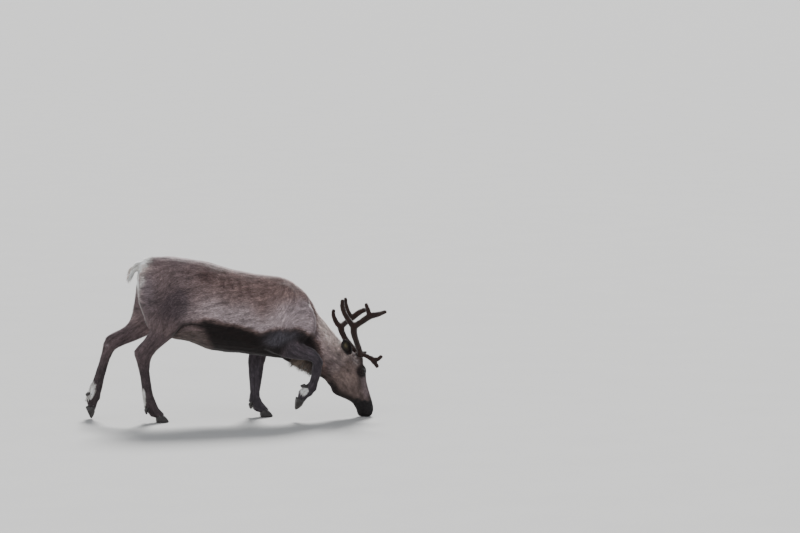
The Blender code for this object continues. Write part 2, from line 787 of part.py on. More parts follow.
def tail_locks():
    """Rows of locks round the tail, each row lying over the next."""
    core = resampled(TAIL, 4)[5:]
    made = []
    for i in range(TAIL_ROWS):
        at = i * (len(core) - 2) // (TAIL_ROWS - 1)
        fx, fz, bx, bz, _, half = core[at]
        ends = [Vector(((s[0] + s[2]) / 2, 0, (s[1] + s[3]) / 2)) for s in core[at : at + 2]]
        ahead = (ends[1] - ends[0]).normalized()
        reach = Vector(((fx - bx) / 2, 0, (fz - bz) / 2))
        for k in range(TAIL_ROUND):
            a = math.tau * (k + 0.5 * (i % 2)) / TAIL_ROUND
            spoke = reach * math.cos(a) + Vector((0, half * math.sin(a), 0))
            along = ahead + spoke.normalized() * 0.16
            size = (TAIL_LOCK[0] * random.uniform(0.85, 1.1), *TAIL_LOCK[1:])
            made.append(lock(ends[0] + spoke * 0.85, along, spoke, size))
    return made


def mirrored(sections):
    return [(*s[:4], -s[4], s[5]) for s in sections]


def head_flesh():
    """Skull, muzzle, cheeks, brows, lids, nostrils and the line of the mouth, before the head turns."""
    pieces = [
        loft("skull", HEAD, square=2.3, pear=-0.12),
        ball("nose", (0.853, 0, 0.048), (0.021, 0.036, 0.038)),
        ball("chin", (0.800, 0, 0.034), (0.030, 0.028, 0.034)),
        ball("forehead", (0.782, 0, 0.350), (0.026, 0.050, 0.060)),
    ]
    for side in (-1, 1):
        ear_base = (EAR_ROOT.x, side * (EAR_ROOT.y - 0.012), EAR_ROOT.z)
        pieces += [
            ball("orbit", (0.781, side * 0.043, 0.290), (0.036, 0.0285, 0.044)),
            ball("lip", (0.838, side * 0.022, 0.030), (0.026, 0.022, 0.030)),
            ball("ear_base", ear_base, (0.026, 0.022, 0.026)),
        ]
    return pieces


def head_forms(places):
    """How far each place on the head is raised, or pressed in where below 0."""
    out = np.zeros(len(places))
    even = places * (1, 0, 1) + np.abs(places) * (0, 1, 0)
    rim = [
        np.array(EYE) + LID_RADIUS * np.array((0.7 * math.sin(a), 0.2, math.cos(a)))
        for a in np.arange(0, 6.4, 0.7)
    ]
    out += LID_HEIGHT * np.exp(-((near_path(even, rim) / 0.0048) ** 2))
    out -= MOUTH_DEPTH * np.exp(-((near_path(even, MOUTH) / 0.0040) ** 2))
    out -= NOSTRIL_DEPTH * np.exp(-((near_path(even, NOSTRIL) / 0.0058) ** 2))
    return out


def build_head():
    """The head and the nape behind it, cut off where the neck begins."""
    pieces = head_flesh()
    for piece in pieces:
        piece.data.transform(turned(HEAD_TURN))
    neck = loft("nape", NECK[2:], turns=neck_turns()[2:], pear=0.06)
    pieces += [tube("pedicle_" + side, branches["beam"][:3]) for side, branches in ANTLERS.items()]
    head = fused("head", pieces + [neck], 0.0038, 10)
    back = turned(-HEAD_TURN)
    head.data.transform(back)
    shifted(head, head_forms)
    head.data.transform(turned(HEAD_TURN))
    return coarser(head, 2900)


def neck_turns():
    return [HEAD_TURN * min(max((i - 1) / (len(NECK) - 3), 0), 1) for i in range(len(NECK))]


def build_body():
    """Trunk, neck, shoulders and legs, fused."""
    pieces = [
        loft("trunk", TRUNK, square=2.25, pear=0.14),
        loft("neck", NECK, turns=neck_turns(), pear=0.06),
        loft("skull", [(*s[:5], s[5] * 1.05) for s in HEAD[:3]], turns=[HEAD_TURN] * 3),
        loft("brisket", BRISKET),
        loft("shoulder", SHOULDER, square=1.8),
        loft("shoulder", mirrored(SHOULDER), square=1.8),
        loft("leg", HIND_RIGHT),
        loft("leg", HIND_LEFT),
        loft("leg", FORE_RIGHT),
        loft("leg", FORE_LEFT),
    ]
    pieces += [pastern(leg) for leg in STANCE]
    pieces += [ball("fetlock", spot, (0.037, 0.031, 0.037), detail=16) for spot, _ in STANCE.values()]
    body = fused("body", pieces, 0.0070, 6)
    return coarser(body, 3300)


def largest(obj):
    """The object with only its largest closed surface."""
    bm = bmesh.new()
    bm.from_mesh(obj.data)
    left = set(bm.verts)
    best = set()
    while left:
        shell, edge = set(), [left.pop()]
        while edge:
            vert = edge.pop()
            shell.add(vert)
            near = [link.other_vert(vert) for link in vert.link_edges]
            fresh = [other for other in near if other in left]
            left.difference_update(fresh)
            edge += fresh
        if len(shell) > len(best):
            best = shell
    bmesh.ops.delete(bm, geom=[v for v in bm.verts if v not in best], context="VERTS")
    bm.to_mesh(obj.data)
    bm.free()
    return obj


def hull(name, points):
    """The convex body through points, in the cutters' collection."""
    bm = bmesh.new()
    for point in points:
        bm.verts.new(point)
    made = bmesh.ops.convex_hull(bm, input=bm.verts)
    spare = {v for v in made["geom_interior"] + made["geom_unused"] if isinstance(v, bmesh.types.BMVert)}
    bmesh.ops.delete(bm, geom=list(spare), context="VERTS")
    bmesh.ops.recalc_face_normals(bm, faces=bm.faces)
    mesh = bpy.data.meshes.new(name)
    bm.to_mesh(mesh)
    bm.free()
    return add(name, mesh, CUTTERS)


def carve(whole, room, name):
    """Parts off what lies in the room, with a thin gap to the rest."""
    piece = add(name, whole.data.copy())
    wider = grown(room, GAP * 1.6)
    boolean(piece, "INTERSECT", [room])
    boolean(whole, "DIFFERENCE", [wider])
    largest(whole)
    return largest(piece)


def leg_room(leg):
    """The room that a leg takes in the body."""
    side = -1 if leg.endswith("right") else 1
    return hull("room", [(x, side * y, z) for x, z, low in LEG_ROOM[leg] for y in (low, 0.40)])


def floor_block():
    """A block that fills all below the floor."""
    corners = [(x, y, z) for x in (-2, 2) for y in (-1, 1) for z in (-FLOOR_DEPTH, 0)]
    return hull("floor", corners)


def section_slab(sections, index):
    """A thin cut across a leg at one of its sections."""
    fx, fz, bx, bz, _, half = sections[index]
    across = math.hypot(fx - bx, fz - bz)
    face = (fz - bz, 0, bx - fx)
    return slab(middle_of(sections, index), face, half * 2 + 0.06, across + 0.06)


def middle_of(sections, index):
    fx, fz, bx, bz, y, _ = sections[index]
    return Vector(((fx + bx) / 2, y, (fz + bz) / 2))


def build_leg(body, leg):
    """One leg from the body: its lengths, its foot, two claws and two dewclaws."""
    sections, joints = LEG_JOINTS[leg]
    limb = carve(body, leg_room(leg), "limb")
    places = {"foot": STANCE[leg][0]}
    above = 1
    for index, name in joints.items():
        places[name] = middle_of(sections, (above + index) // 2)
        above = index
    boolean(limb, "DIFFERENCE", [section_slab(sections, index) for index in joints])
    made = split(limb, {f"{leg}_{name}": place for name, place in places.items()})
    toes = []
    for side, word in ((-1, "right"), (1, "left")):
        for shape, make in (("claw", claw), ("dewclaw", dewclaw)):
            toe = make(leg, side)
            toe.name = f"{leg}_{shape}_{word}"
            made[toe.name] = toe
            toes.append(toe)
    for toe in toes:
        if min(v.co.z for v in toe.data.vertices) < -GAP:
            boolean(toe, "DIFFERENCE", [floor_block()])
    foot = made[f"{leg}_foot"]
    for toe in toes:
        boolean(foot, "DIFFERENCE", [grown(toe, GAP * 2)])
    largest(foot)
    return made


def build_tail(body):
    """The tail, from the body's back end."""
    tail = coarser(fused("tail", [loft("tail", TAIL)], 0.0045, 3), 160)
    boolean(tail, "UNION", tail_locks())
    largest(tail)
    room = hull("room", [(x, y, z) for x, z in TAIL_ROOM for y in (-0.036, 0.036)])
    boolean(body, "DIFFERENCE", [grown(room, GAP * 1.6)])
    boolean(tail, "INTERSECT", [room])
    return largest(tail)


def build_face(head):
    """Eyes, ears and antlers, set in and on the head."""
    made = {}
    turn = turned(HEAD_TURN)
    for side, word in ((-1, "right"), (1, "left")):
        eye = ball("eye_" + word, turn @ (EYE * Vector((1, side, 1))), (EYE_RADIUS,) * 3, detail=12)
        boolean(head, "DIFFERENCE", [grown(eye, GAP * 1.2)])
        boolean(head, "DIFFERENCE", [antler_seat(word, 1)])
        made["eye_" + word] = eye
    largest(head)
    for side, word in ((-1, "right"), (1, "left")):
        lobe = ear(side)
        boolean(lobe, "DIFFERENCE", [grown(head, GAP * 2)])
        made["ear_" + word] = largest(lobe)
        made.update(antler(word))
    return made


def build():
    """Every node of the reindeer, by name."""
    body = build_body()
    head = build_head()
    nodes = {}
    for leg in STANCE:
        nodes.update(build_leg(body, leg))
    room = hull("room", [(x, y, z) for x, z in HEAD_ROOM for y in (-0.4, 0.4)])
    boolean(body, "DIFFERENCE", [grown(room, GAP * 1.6)])
    boolean(head, "INTERSECT", [room])
    boolean(head, "DIFFERENCE", [floor_block()])
    nodes["tail"] = build_tail(body)
    room = hull("room", [(x, y, z) for x, z in NECK_ROOM for y in (-0.4, 0.4)])
    nodes["neck"] = carve(body, room, "neck")
    boolean(nodes["neck"], "UNION", mane_locks(nodes["neck"]))
    largest(nodes["neck"])
    nodes.update(build_face(head))
    nodes["head"] = head
    nodes["torso"] = largest(body)
    return nodes


def surface_of(name):
    """The finish that a node has."""
    for part, finish_name in (("eye", "eye"), ("antler", "velvet"), ("claw", "claw"), ("tail", "white_hair")):
        if part in name:
            return finish_name
    for part in ("foot", "cannon", "forearm", "head"):
        if part in name:
            return "dark_coat"
    return "coat"


def place(nodes):
    """Names, finishes and origins, with the middle of the whole stance over the world's origin."""
    corners = [Vector(v.co) for node in nodes.values() for v in node.data.vertices]
    low = [min(c[k] for c in corners) for k in range(3)]
    high = [max(c[k] for c in corners) for k in range(3)]
    stance = bpy.data.objects.new("stance", None)
    PARTS.objects.link(stance)
    stance.location = (-(low[0] + high[0]) / 2, -(low[1] + high[1]) / 2, -low[2])
    for name, node in nodes.items():
        node.name = name
        node.data.name = name
        for old in list(node.users_collection):
            old.objects.unlink(node)
        PARTS.objects.link(node)
        centre = sum((v.co for v in node.data.vertices), Vector()) / len(node.data.vertices)
        node.data.transform(Matrix.Translation(-centre))
        node.location = centre
        node.parent = stance
        finish(node, surface_of(name))


place(build())
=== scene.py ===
"""The looks of a grazing reindeer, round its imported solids: skin, coat, velvet, hooves and eyes.

Places are in metres, in the solids' own frame: +X towards the head, +Y to the animal's left, +Z up.
"""

import json
import math

import bmesh
import bpy
import numpy as np
from mathutils import Matrix, Vector
from mathutils.bvhtree import BVHTree

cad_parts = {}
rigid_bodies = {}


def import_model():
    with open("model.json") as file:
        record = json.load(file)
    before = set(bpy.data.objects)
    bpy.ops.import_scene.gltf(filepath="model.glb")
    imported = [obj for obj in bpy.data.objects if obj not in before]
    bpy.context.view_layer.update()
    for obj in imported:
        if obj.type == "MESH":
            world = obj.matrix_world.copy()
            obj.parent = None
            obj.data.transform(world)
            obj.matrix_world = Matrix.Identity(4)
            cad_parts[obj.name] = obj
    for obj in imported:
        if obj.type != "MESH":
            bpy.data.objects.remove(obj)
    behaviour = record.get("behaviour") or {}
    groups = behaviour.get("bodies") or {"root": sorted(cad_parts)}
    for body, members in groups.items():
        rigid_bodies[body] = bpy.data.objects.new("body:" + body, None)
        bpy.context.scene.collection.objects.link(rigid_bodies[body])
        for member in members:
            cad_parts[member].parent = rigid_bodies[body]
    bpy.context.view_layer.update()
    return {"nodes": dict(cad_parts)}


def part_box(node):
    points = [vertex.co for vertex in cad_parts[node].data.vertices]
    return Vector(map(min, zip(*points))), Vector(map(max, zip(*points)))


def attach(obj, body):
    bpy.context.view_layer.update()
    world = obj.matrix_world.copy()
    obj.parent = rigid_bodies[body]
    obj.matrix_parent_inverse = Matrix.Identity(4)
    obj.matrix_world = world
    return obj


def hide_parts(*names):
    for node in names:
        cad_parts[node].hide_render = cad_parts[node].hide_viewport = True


SEED = 11

# The photo's view: how far it is turned and raised, one pixel's real size, and where the origin shows.
AZIMUTH = -7
ELEVATION = 5
PIXEL = 0.0062
ORIGIN_PIXEL = (236.33, 419)
PHOTO_SIZE = (800, 533)
LENS = 200
SENSOR = 36

# The skin's mesh, and how deep the coat lies for each metre of its hair's length.
VOXEL = 0.0074
GROWTH = 0.0004
DEPTH_SHARE = 0.24
FLOOR_GAP = 0.0008
EAR_VOXEL = 0.0016
EAR_SINK = 0.0009
ANTLER_VOXEL = 0.0028
HOOF_VOXEL = 0.0021
HOOF_GAP = 0.0002
UNWRAP_FACES = 6000
LEG_HAIR = (0.023, 0.020, 0.014, 0.010, 0.008)
FULL_COVER = 2.0
FLOOR_REACH = 400
CELL_PRIMES = (73856093, 19349663, 83492791)

# The head looks a little away from the camera, about a pivot in the nape.
HEAD_TURN = 12
NAPE = Vector((0.6107, -0.0037, 0))
HEAD_PIVOT = Vector((0.619, 0, 0))
EYE_RADIUS = 0.0185
EYE_OUT = Vector((0.42, 0.88, 0.12))
EYE_UP = Vector((-0.45, 0, 0.89))
EYE_OPENING = (math.sin(math.radians(56)), math.sin(math.radians(37)))
EAR_ROOT = Vector((0.700, 0.056, 0.408))
EAR_TIP = Vector((0.634, 0.146, 0.496))
EAR_MOUTH = Vector((0.12, 0.93, -0.20))
NOSTRIL = [(0.868, 0.022, 0.066), (0.860, 0.034, 0.050), (0.846, 0.039, 0.044)]
MOUTH = [(0.840, 0.010, 0.014), (0.818, 0.036, 0.026), (0.796, 0.043, 0.050), (0.776, 0.044, 0.084)]

# The runs along which the coat lies, from root to tip: (x, y, z, reach), the head's before it turns.
TRUNK = [(0.3917, 0, 0.60, 0.20), (0.0917, 0, 0.66, 0.24), (-0.2083, 0, 0.72, 0.25), (-0.5283, 0, 0.80, 0.20)]
NECK = [(0.6717, 0, 0.33, 0.075), (0.5617, 0, 0.43, 0.095), (0.4717, 0, 0.54, 0.12), (0.4017, 0, 0.64, 0.13)]
HEAD = [(0.84, 0, 0.04, 0.045), (0.79, 0, 0.13, 0.050), (0.73, 0, 0.26, 0.065), (0.67, 0, 0.37, 0.070)]
TAIL = [
    (-0.556, 0, 0.972, 0.024),
    (-0.598, 0, 0.962, 0.025),
    (-0.632, 0, 0.938, 0.024),
    (-0.648, 0, 0.908, 0.019),
    (-0.652, 0, 0.890, 0.012),
]
LEGS = {
    "hind_right": [
        (-0.4383, -0.080, 0.84, 0.110),
        (-0.4483, -0.100, 0.66, 0.100),
        (-0.4983, -0.112, 0.53, 0.060),
        (-0.5883, -0.110, 0.41, 0.040),
        (-0.5733, -0.110, 0.28, 0.031),
        (-0.5433, -0.110, 0.11, 0.030),
        (-0.4913, -0.110, 0.04, 0.030),
    ],
    "hind_left": [
        (-0.4583, 0.080, 0.84, 0.110),
        (-0.4983, 0.096, 0.67, 0.090),
        (-0.6083, 0.110, 0.55, 0.055),
        (-0.7733, 0.103, 0.455, 0.040),
        (-0.8103, 0.102, 0.37, 0.034),
        (-0.8403, 0.102, 0.27, 0.030),
        (-0.8663, 0.102, 0.156, 0.030),
        (-0.9033, 0.102, 0.07, 0.030),
    ],
    "fore_right": [
        (0.2917, -0.090, 0.74, 0.110),
        (0.2817, -0.120, 0.54, 0.080),
        (0.3317, -0.128, 0.455, 0.055),
        (0.4567, -0.141, 0.405, 0.042),
        (0.4917, -0.144, 0.350, 0.034),
        (0.4817, -0.144, 0.280, 0.030),
        (0.4437, -0.144, 0.196, 0.030),
        (0.3867, -0.144, 0.125, 0.030),
    ],
    "fore_left": [
        (0.2117, 0.100, 0.66, 0.100),
        (0.1617, 0.110, 0.52, 0.070),
        (0.1337, 0.100, 0.40, 0.050),
        (0.1307, 0.096, 0.27, 0.040),
        (0.1257, 0.096, 0.16, 0.030),
        (0.1297, 0.096, 0.10, 0.030),
        (0.1767, 0.096, 0.04, 0.030),
    ],
}

# Lines on the side of the body, as (x, z).
CREASE = [(0.4407, 0.826), (0.4657, 0.714), (0.4947, 0.633), (0.4997, 0.570), (0.4777, 0.509)]
BLADE = [(0.2767, 0.880), (0.2617, 0.800), (0.2717, 0.720)]
THIGH_EDGE = [(-0.3583, 0.860), (-0.3233, 0.760), (-0.3083, 0.680), (-0.3383, 0.610)]
FLANK_FOLD = [(-0.3883, 0.545), (-0.3323, 0.598), (-0.2823, 0.611), (-0.2183, 0.600)]
PALE_LOW = [
    (-0.3483, 0.600),
    (-0.1953, 0.655),
    (-0.0643, 0.625),
    (0.0607, 0.589),
    (0.1547, 0.545),
    (0.2117, 0.575),
    (0.2917, 0.590),
    (0.3700, 0.582),
    (0.4200, 0.560),
    (0.4700, 0.525),
    (0.5100, 0.500),
]

# How pale the flank's band is, as (x, share), and dark spots on the back, as (x, z), reach and share; the
# four narrow spots are painted shade in the rib folds.
PALE_SHARE = [
    (-0.37, 0.0),
    (-0.30, 0.22),
    (-0.21, 0.62),
    (-0.12, 0.85),
    (0.09, 0.95),
    (0.29, 0.90),
    (0.49, 0.65),
]
BACK_SPOTS_AND_RIB_SHADE = [
    ((-0.1900, 0.900), (0.062, 0.042), 0.90),
    ((-0.1383, 0.905), (0.022, 0.045), 0.60),
    ((-0.0833, 0.850), (0.013, 0.055), 0.75),
    ((-0.0383, 0.835), (0.013, 0.060), 0.72),
    ((0.0217, 0.820), (0.013, 0.060), 0.70),
    ((0.0767, 0.800), (0.013, 0.060), 0.60),
    ((-0.2983, 0.930), (0.050, 0.025), 0.40),
    ((0.1917, 0.800), (0.040, 0.035), 0.35),
]

# Lines on the straight head, as (x, z).
JAW_LINE = [(0.590, 0.200), (0.625, 0.150), (0.665, 0.125), (0.720, 0.100)]
BRIDGE_LINE = [(0.792, 0.235), (0.806, 0.190), (0.822, 0.140)]
BROW_LINE = [(0.796, 0.380), (0.804, 0.340), (0.818, 0.290)]
CHEEK_LINE = [(0.772, 0.250), (0.768, 0.222), (0.776, 0.190)]
EAR_PATCH_LINE = [(0.716, 0.394), (0.744, 0.374), (0.750, 0.345)]
EAR_SMUDGES = [
    ((0.700, 0.362), (0.017, 0.022)),
    ((0.666, 0.346), (0.016, 0.010)),
    ((0.640, 0.366), (0.014, 0.010)),
]

# White hair on the feet, as a middle and a reach, and a pale spot on the far hock.
WHITE_FEET = {
    "hind_right": ((-0.592, -0.110, 0.145), (0.024, 0.05, 0.078)),
    "hind_left": ((-0.901, 0.102, 0.190), (0.038, 0.06, 0.058)),
    "fore_right": ((0.408, -0.160, 0.186), (0.026, 0.04, 0.030)),
    "fore_left": ((0.090, 0.096, 0.066), (0.022, 0.05, 0.030)),
}
HOCK_SPOT = (-0.7903, 0.070, 0.468)

# Colours as red, green and blue of 255
BACK = (122, 100, 96)
CROUP = (118, 100, 100)
SEAT = (118, 106, 110)
HAUNCH = (70, 59, 63)
# Dark brown of the back's spots; also painted as shade in the crease behind the shoulder and in the rib
# folds.
SPOT_AND_CREASE_SHADE = (78, 58, 56)
# Pale flank hair; on the flank's band it also stands for painted top light.
PALE = (174, 158, 160)
SHOULDER = (166, 150, 153)
NECK_GREY = (146, 128, 126)
NAPE_GREY = (208, 188, 180)
THROAT = (76, 64, 63)
# Near-black belly hair; also painted as shade in the flank's fold.
BELLY_AND_FOLD_SHADE = (24, 14, 13)
GROIN = (92, 80, 76)
LEG = (94, 79, 81)
SHIN = (66, 56, 58)
FORELEG = (70, 63, 69)
ELBOW = (76, 72, 78)
CHEEK = (132, 113, 107)
FACE = (96, 81, 77)
JAW = (38, 29, 27)
BRIDGE = (112, 97, 98)
DARK_FACE = (34, 23, 23)
MUZZLE = (28, 24, 25)
EAR_PATCH = (162, 148, 146)
EAR_BACK = (92, 76, 70)
EAR_CUP = (40, 33, 31)
EAR_HAIR = (118, 110, 84)
WHITE = (250, 246, 240)
TAIL_BACK = (170, 138, 116)
BRISKET = (120, 106, 95)
VELVET = (36, 20, 16)
# Paler tips of the velvet's plush; also painted rim light on the antlers.
VELVET_TIP_AND_RIM_LIGHT = (118, 80, 58)
HORN = (36, 32, 31)


def clear():
    for old in list(bpy.data.objects):
        bpy.data.objects.remove(old)


def colour(rgb):
    """The shader's own numbers for a colour given as red, green and blue of 255."""
    c = np.array(rgb, float) / 255
    return np.where(c > 0.04045, ((c + 0.055) / 1.055) ** 2.4, c / 12.92)


def smooth_step(low, high, value):
    t = np.clip((np.asarray(value, float) - low) / (high - low), 0, 1)
    return t * t * (3 - 2 * t)


def unit(v):
    return v / np.maximum(np.linalg.norm(v, axis=-1, keepdims=True), 1e-12)


def mixed(under, over, share):
    return under + (over - under) * np.asarray(share)[..., None]


def bump(apart, width):
    return np.exp(-((apart / width) ** 2))


def mottle(places, size, seed, waves=7):
    """Soft uneven spots about size across, from -1 to 1, out of crossed waves."""
    draw = np.random.default_rng(seed)
    total = np.zeros(len(places))
    for _ in range(waves):
        way = draw.normal(size=3)
        way *= math.pi / size * draw.uniform(0.7, 1.5) / np.linalg.norm(way)
        other = draw.normal(size=3)
        other *= math.pi / size / np.linalg.norm(other)
        total += np.sin(places @ way + draw.uniform(0, math.tau)) * np.cos(places @ other)
    return np.clip(total / math.sqrt(waves) * 1.2, -1, 1)


def cell_noise(places, size, seed):
    """Soft noise from 0 to 1 with cells of the given size."""
    at = places / size
    low = np.floor(at).astype(np.int64)
    part = at - low
    part = part * part * (3 - 2 * part)
    total = np.zeros(len(places))
    for corner in range(8):
        step = np.array([corner & 1, (corner >> 1) & 1, (corner >> 2) & 1])
        cell = low + step
        mix = np.bitwise_xor.reduce(cell * CELL_PRIMES, axis=1) ^ (seed * 2654435761)
        mix = (mix ^ (mix >> 13)) * 1274126177 & 0xFFFFFFFF
        mix = (mix ^ (mix >> 16)) & 0xFFFF
        total += mix / 65535 * np.prod(np.where(step, part, 1 - part), axis=1)
    return total


def streaks(places, way, size, reach, seed, steps=4):
    """Noise drawn out along the coat's lie, with a mean of 0 and a spread of about 1."""
    way = unit(way)
    total = np.zeros(len(places))
    for k in range(-steps, steps + 1):
        total += cell_noise(places + way * (reach * k / steps), size, seed) - 0.5
    return np.clip(total / math.sqrt(2 * steps + 1) * 3.4, -2.2, 2.2)


def near_path(places, path):
    """Each place's distance to a line of straight pieces."""
    best = np.full(len(places), 1e9)
    for a, b in zip(path[:-1], path[1:]):
        a = np.array(a)
        b = np.array(b)
        t = np.clip((places - a) @ (b - a) / ((b - a) @ (b - a)), 0, 1)
        best = np.minimum(best, np.linalg.norm(places - a - t[:, None] * (b - a), axis=1))
    return best


def head_matrix():
    """From the head's own straight place to where it is turned."""
    turn = Matrix.Rotation(math.radians(HEAD_TURN), 4, "Z")
    return Matrix.Translation(NAPE) @ turn @ Matrix.Translation(-HEAD_PIVOT)


def flipped(place, flip):
    """A place or a way on the head's left side, or with flip -1 on its right."""
    return Vector((place.x, place.y * flip, place.z))


def moved(matrix, places):
    m = np.array(matrix)
    return np.asarray(places, float) @ m[:3, :3].T + m[:3, 3]


def box_centre(node):
    low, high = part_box(node)
    return (low + high) / 2


def values_of(items, what, width, kind=np.float32):
    """One row of numbers for each of a mesh's points, edges or faces."""
    out = np.zeros(len(items) * width, kind)
    items.foreach_get(what, out)
    return out.reshape(-1, width)


def places_of(mesh):
    return values_of(mesh.vertices, "co", 3).astype(float)


def set_places(mesh, co):
    mesh.vertices.foreach_set("co", co.astype(np.float32).ravel())
    mesh.update()


def normals_of(mesh):
    return values_of(mesh.vertices, "normal", 3).astype(float)


def edges_of(mesh):
    return values_of(mesh.edges, "vertices", 2, np.int32)


def triangles_of(mesh):
    mesh.calc_loop_triangles()
    return values_of(mesh.loop_triangles, "vertices", 3, np.int32)


def neighbours_mean(mesh):
    """A function that gives each point the mean of its neighbours' values."""
    a, b = edges_of(mesh).T
    n = len(mesh.vertices)
    count = np.maximum(np.bincount(a, minlength=n) + np.bincount(b, minlength=n), 1)

    def mean(value):
        total = np.bincount(a, value[b], minlength=n) + np.bincount(b, value[a], minlength=n)
        return total / count

    return mean


def add(name, mesh):
    made = bpy.data.objects.new(name, mesh)
    bpy.context.scene.collection.objects.link(made)
    return made


def smooth_shaded(mesh):
    mesh.polygons.foreach_set("use_smooth", np.ones(len(mesh.polygons), bool))
    mesh.update()


def keep_colour(mesh, values):
    """Each point's colour, for the shader."""
    layer = mesh.color_attributes.new("Col", "FLOAT_COLOR", "POINT")
    rgba = np.ones((len(mesh.vertices), 4), np.float32)
    rgba[:, :3] = np.clip(values, 0, 1)
    layer.data.foreach_set("color", rgba.ravel())


def copies(nodes, growth=GROWTH):
    """One mesh holding copies of the named solids, each a little larger so that they touch."""
    whole = bmesh.new()
    for name in nodes:
        one = bmesh.new()
        one.from_mesh(FRAME["nodes"][name].data)
        bmesh.ops.remove_doubles(one, verts=one.verts, dist=0.00001)
        one.normal_update()
        shifts = [v.normal * growth for v in one.verts]
        for v, shift in zip(one.verts, shifts):
            v.co += shift
        spare = bpy.data.meshes.new("spare")
        one.to_mesh(spare)
        one.free()
        whole.from_mesh(spare)
        bpy.data.meshes.remove(spare)
    return whole


def add_ball(whole, centre, radius):
    place = Matrix.Translation(centre)
    bmesh.ops.create_icosphere(whole, subdivisions=2, radius=radius, matrix=place)


def add_chain(whole, run, step=0.005):
    """Balls set close along a run of (x, y, z, radius)."""
    for a, b in zip(run, run[1:]):
        a = Vector(a)
        b = Vector(b)
        count = max(int((b - a).length / step), 1)
        for i in range(count + 1):
            p = a.lerp(b, i / count)
            add_ball(whole, p[:3], p[3])


def remeshed(name, whole, voxel):
    """A new object: the outer surface of all that whole holds, as even small squares."""
    mesh = bpy.data.meshes.new(name)
    whole.to_mesh(mesh)
    whole.free()
    made = add(name, mesh)
    mesh.remesh_voxel_size = voxel
    mesh.remesh_voxel_adaptivity = 0
    bpy.context.view_layer.objects.active = made
    bpy.ops.object.voxel_remesh()
    return made


def without_scraps(mesh):
    """Drops every surface but the one with the most points."""
    edges = edges_of(mesh)
    label = np.arange(len(mesh.vertices))
    while True:
        low = np.minimum(label[edges[:, 0]], label[edges[:, 1]])
        new = label.copy()
        np.minimum.at(new, edges[:, 0], low)
        np.minimum.at(new, edges[:, 1], low)
        new = new[new]
        if (new == label).all():
            break
        label = new
    best = np.bincount(label).argmax()
    if (label == best).all():
        return
    b = bmesh.new()
    b.from_mesh(mesh)
    bmesh.ops.delete(b, geom=[v for v in b.verts if label[v.index] != best], context="VERTS")
    b.to_mesh(mesh)
    b.free()


def relaxed(mesh, steps, weight=1.0, back=0.53):
    """Smooths the mesh and keeps its volume: each step in is followed by a step out."""
    co = places_of(mesh)
    mean = neighbours_mean(mesh)
    for _ in range(steps):
        for pull in (0.5, -back):
            for k in range(3):
                c = co[:, k]
                co[:, k] = c + pull * weight * (mean(c) - c)
    set_places(mesh, co)


def finer(mesh, chosen):
    """Splits each face whose points are all chosen into four."""
    b = bmesh.new()
    b.from_mesh(mesh)
    b.verts.ensure_lookup_table()
    edges = [e for e in b.edges if chosen[e.verts[0].index] and chosen[e.verts[1].index]]
    bmesh.ops.subdivide_edges(b, edges=edges, cuts=1, use_grid_fill=True)
    ring = [f for f in b.faces if len(f.verts) > 4]
    bmesh.ops.triangulate(b, faces=ring)
    b.to_mesh(mesh)
    b.free()
    mesh.update()


def all_runs():
    """Every run of the coat's lie by name, with the head's turned into place."""
    turned = head_matrix()
    straight = [(*(turned @ Vector(p[:3])), p[3]) for p in HEAD]
    ears = {}
    for name, flip in (("ear_left", 1), ("ear_right", -1)):
        ends = (EAR_ROOT * 0.92 + EAR_TIP * 0.08, EAR_TIP)
        ears[name] = [(*(turned @ flipped(p, flip)), 0.026) for p in ends]
    return {"trunk": TRUNK, "neck": NECK, "head": straight, "tail": TAIL, **LEGS, **ears}


def nearness(places, sharpness=3.0):
    """How much each run holds of each place, how far down it the place is, and the way the coat lies."""
    names = []
    shares = []
    ways = []
    downs = []
    for name, run in all_runs().items():
        points = np.array(run)
        for i in range(len(points) - 1):
            a = points[i, :3]
            b = points[i + 1, :3]
            t = np.clip((places - a) @ (b - a) / ((b - a) @ (b - a)), 0, 1)
            reach = points[i, 3] + (points[i + 1, 3] - points[i, 3]) * t
            apart = np.linalg.norm(places - a - t[:, None] * (b - a), axis=1) / reach
            names.append(name)
            shares.append(apart**2)
            ways.append((b - a) / np.linalg.norm(b - a))
            downs.append((i + t) / (len(points) - 1))
    shares = np.array(shares)
    shares = np.exp(-sharpness * (shares - shares.min(0)))
    shares /= shares.sum(0)
    near = {name: np.zeros(len(places)) for name in names}
    down = {name: np.zeros(len(places)) for name in names}
    for name, share, far in zip(names, shares, downs):
        near[name] += share
        down[name] += share * far
    for name in near:
        down[name] /= np.maximum(near[name], 1e-9)
    down["ear"] = np.maximum(down["ear_right"] * near["ear_right"], down["ear_left"] * near["ear_left"])
    near["hind"] = near["hind_right"] + near["hind_left"]
    near["fore"] = near["fore_right"] + near["fore_left"]
    near["ear"] = near["ear_right"] + near["ear_left"]
    for pair in ("hind", "fore"):
        down[pair] = (
            down[pair + "_right"] * near[pair + "_right"] + down[pair + "_left"] * near[pair + "_left"]
        ) / np.maximum(near[pair], 1e-9)
    return near, down, np.einsum("sn,sk->nk", shares, np.array(ways))


def hair_length(places, near, down):
    """The length of the coat at each place."""
    legs = near["hind"] * np.interp(down["hind"], (0, 0.25, 0.5, 0.75, 1), LEG_HAIR)
    legs += near["fore"] * np.interp(down["fore"], (0, 0.2, 0.45, 0.7, 1), LEG_HAIR)
    face = np.interp(down["head"], (0, 0.15, 0.6, 1), (0.003, 0.005, 0.009, 0.018))
    for eye in ("eye_left", "eye_right"):
        apart = np.linalg.norm(places - np.array(box_centre(eye)), axis=1)
        face *= 1 - 0.6 * (1 - smooth_step(0.024, 0.045, apart))
    neck = np.interp(down["neck"], (0, 0.4, 1), (0.018, 0.026, 0.024))
    rest = near["trunk"] * 0.022 + near["neck"] * neck + near["tail"] * 0.024 + near["ear"] * 0.008
    return legs + near["head"] * face + rest


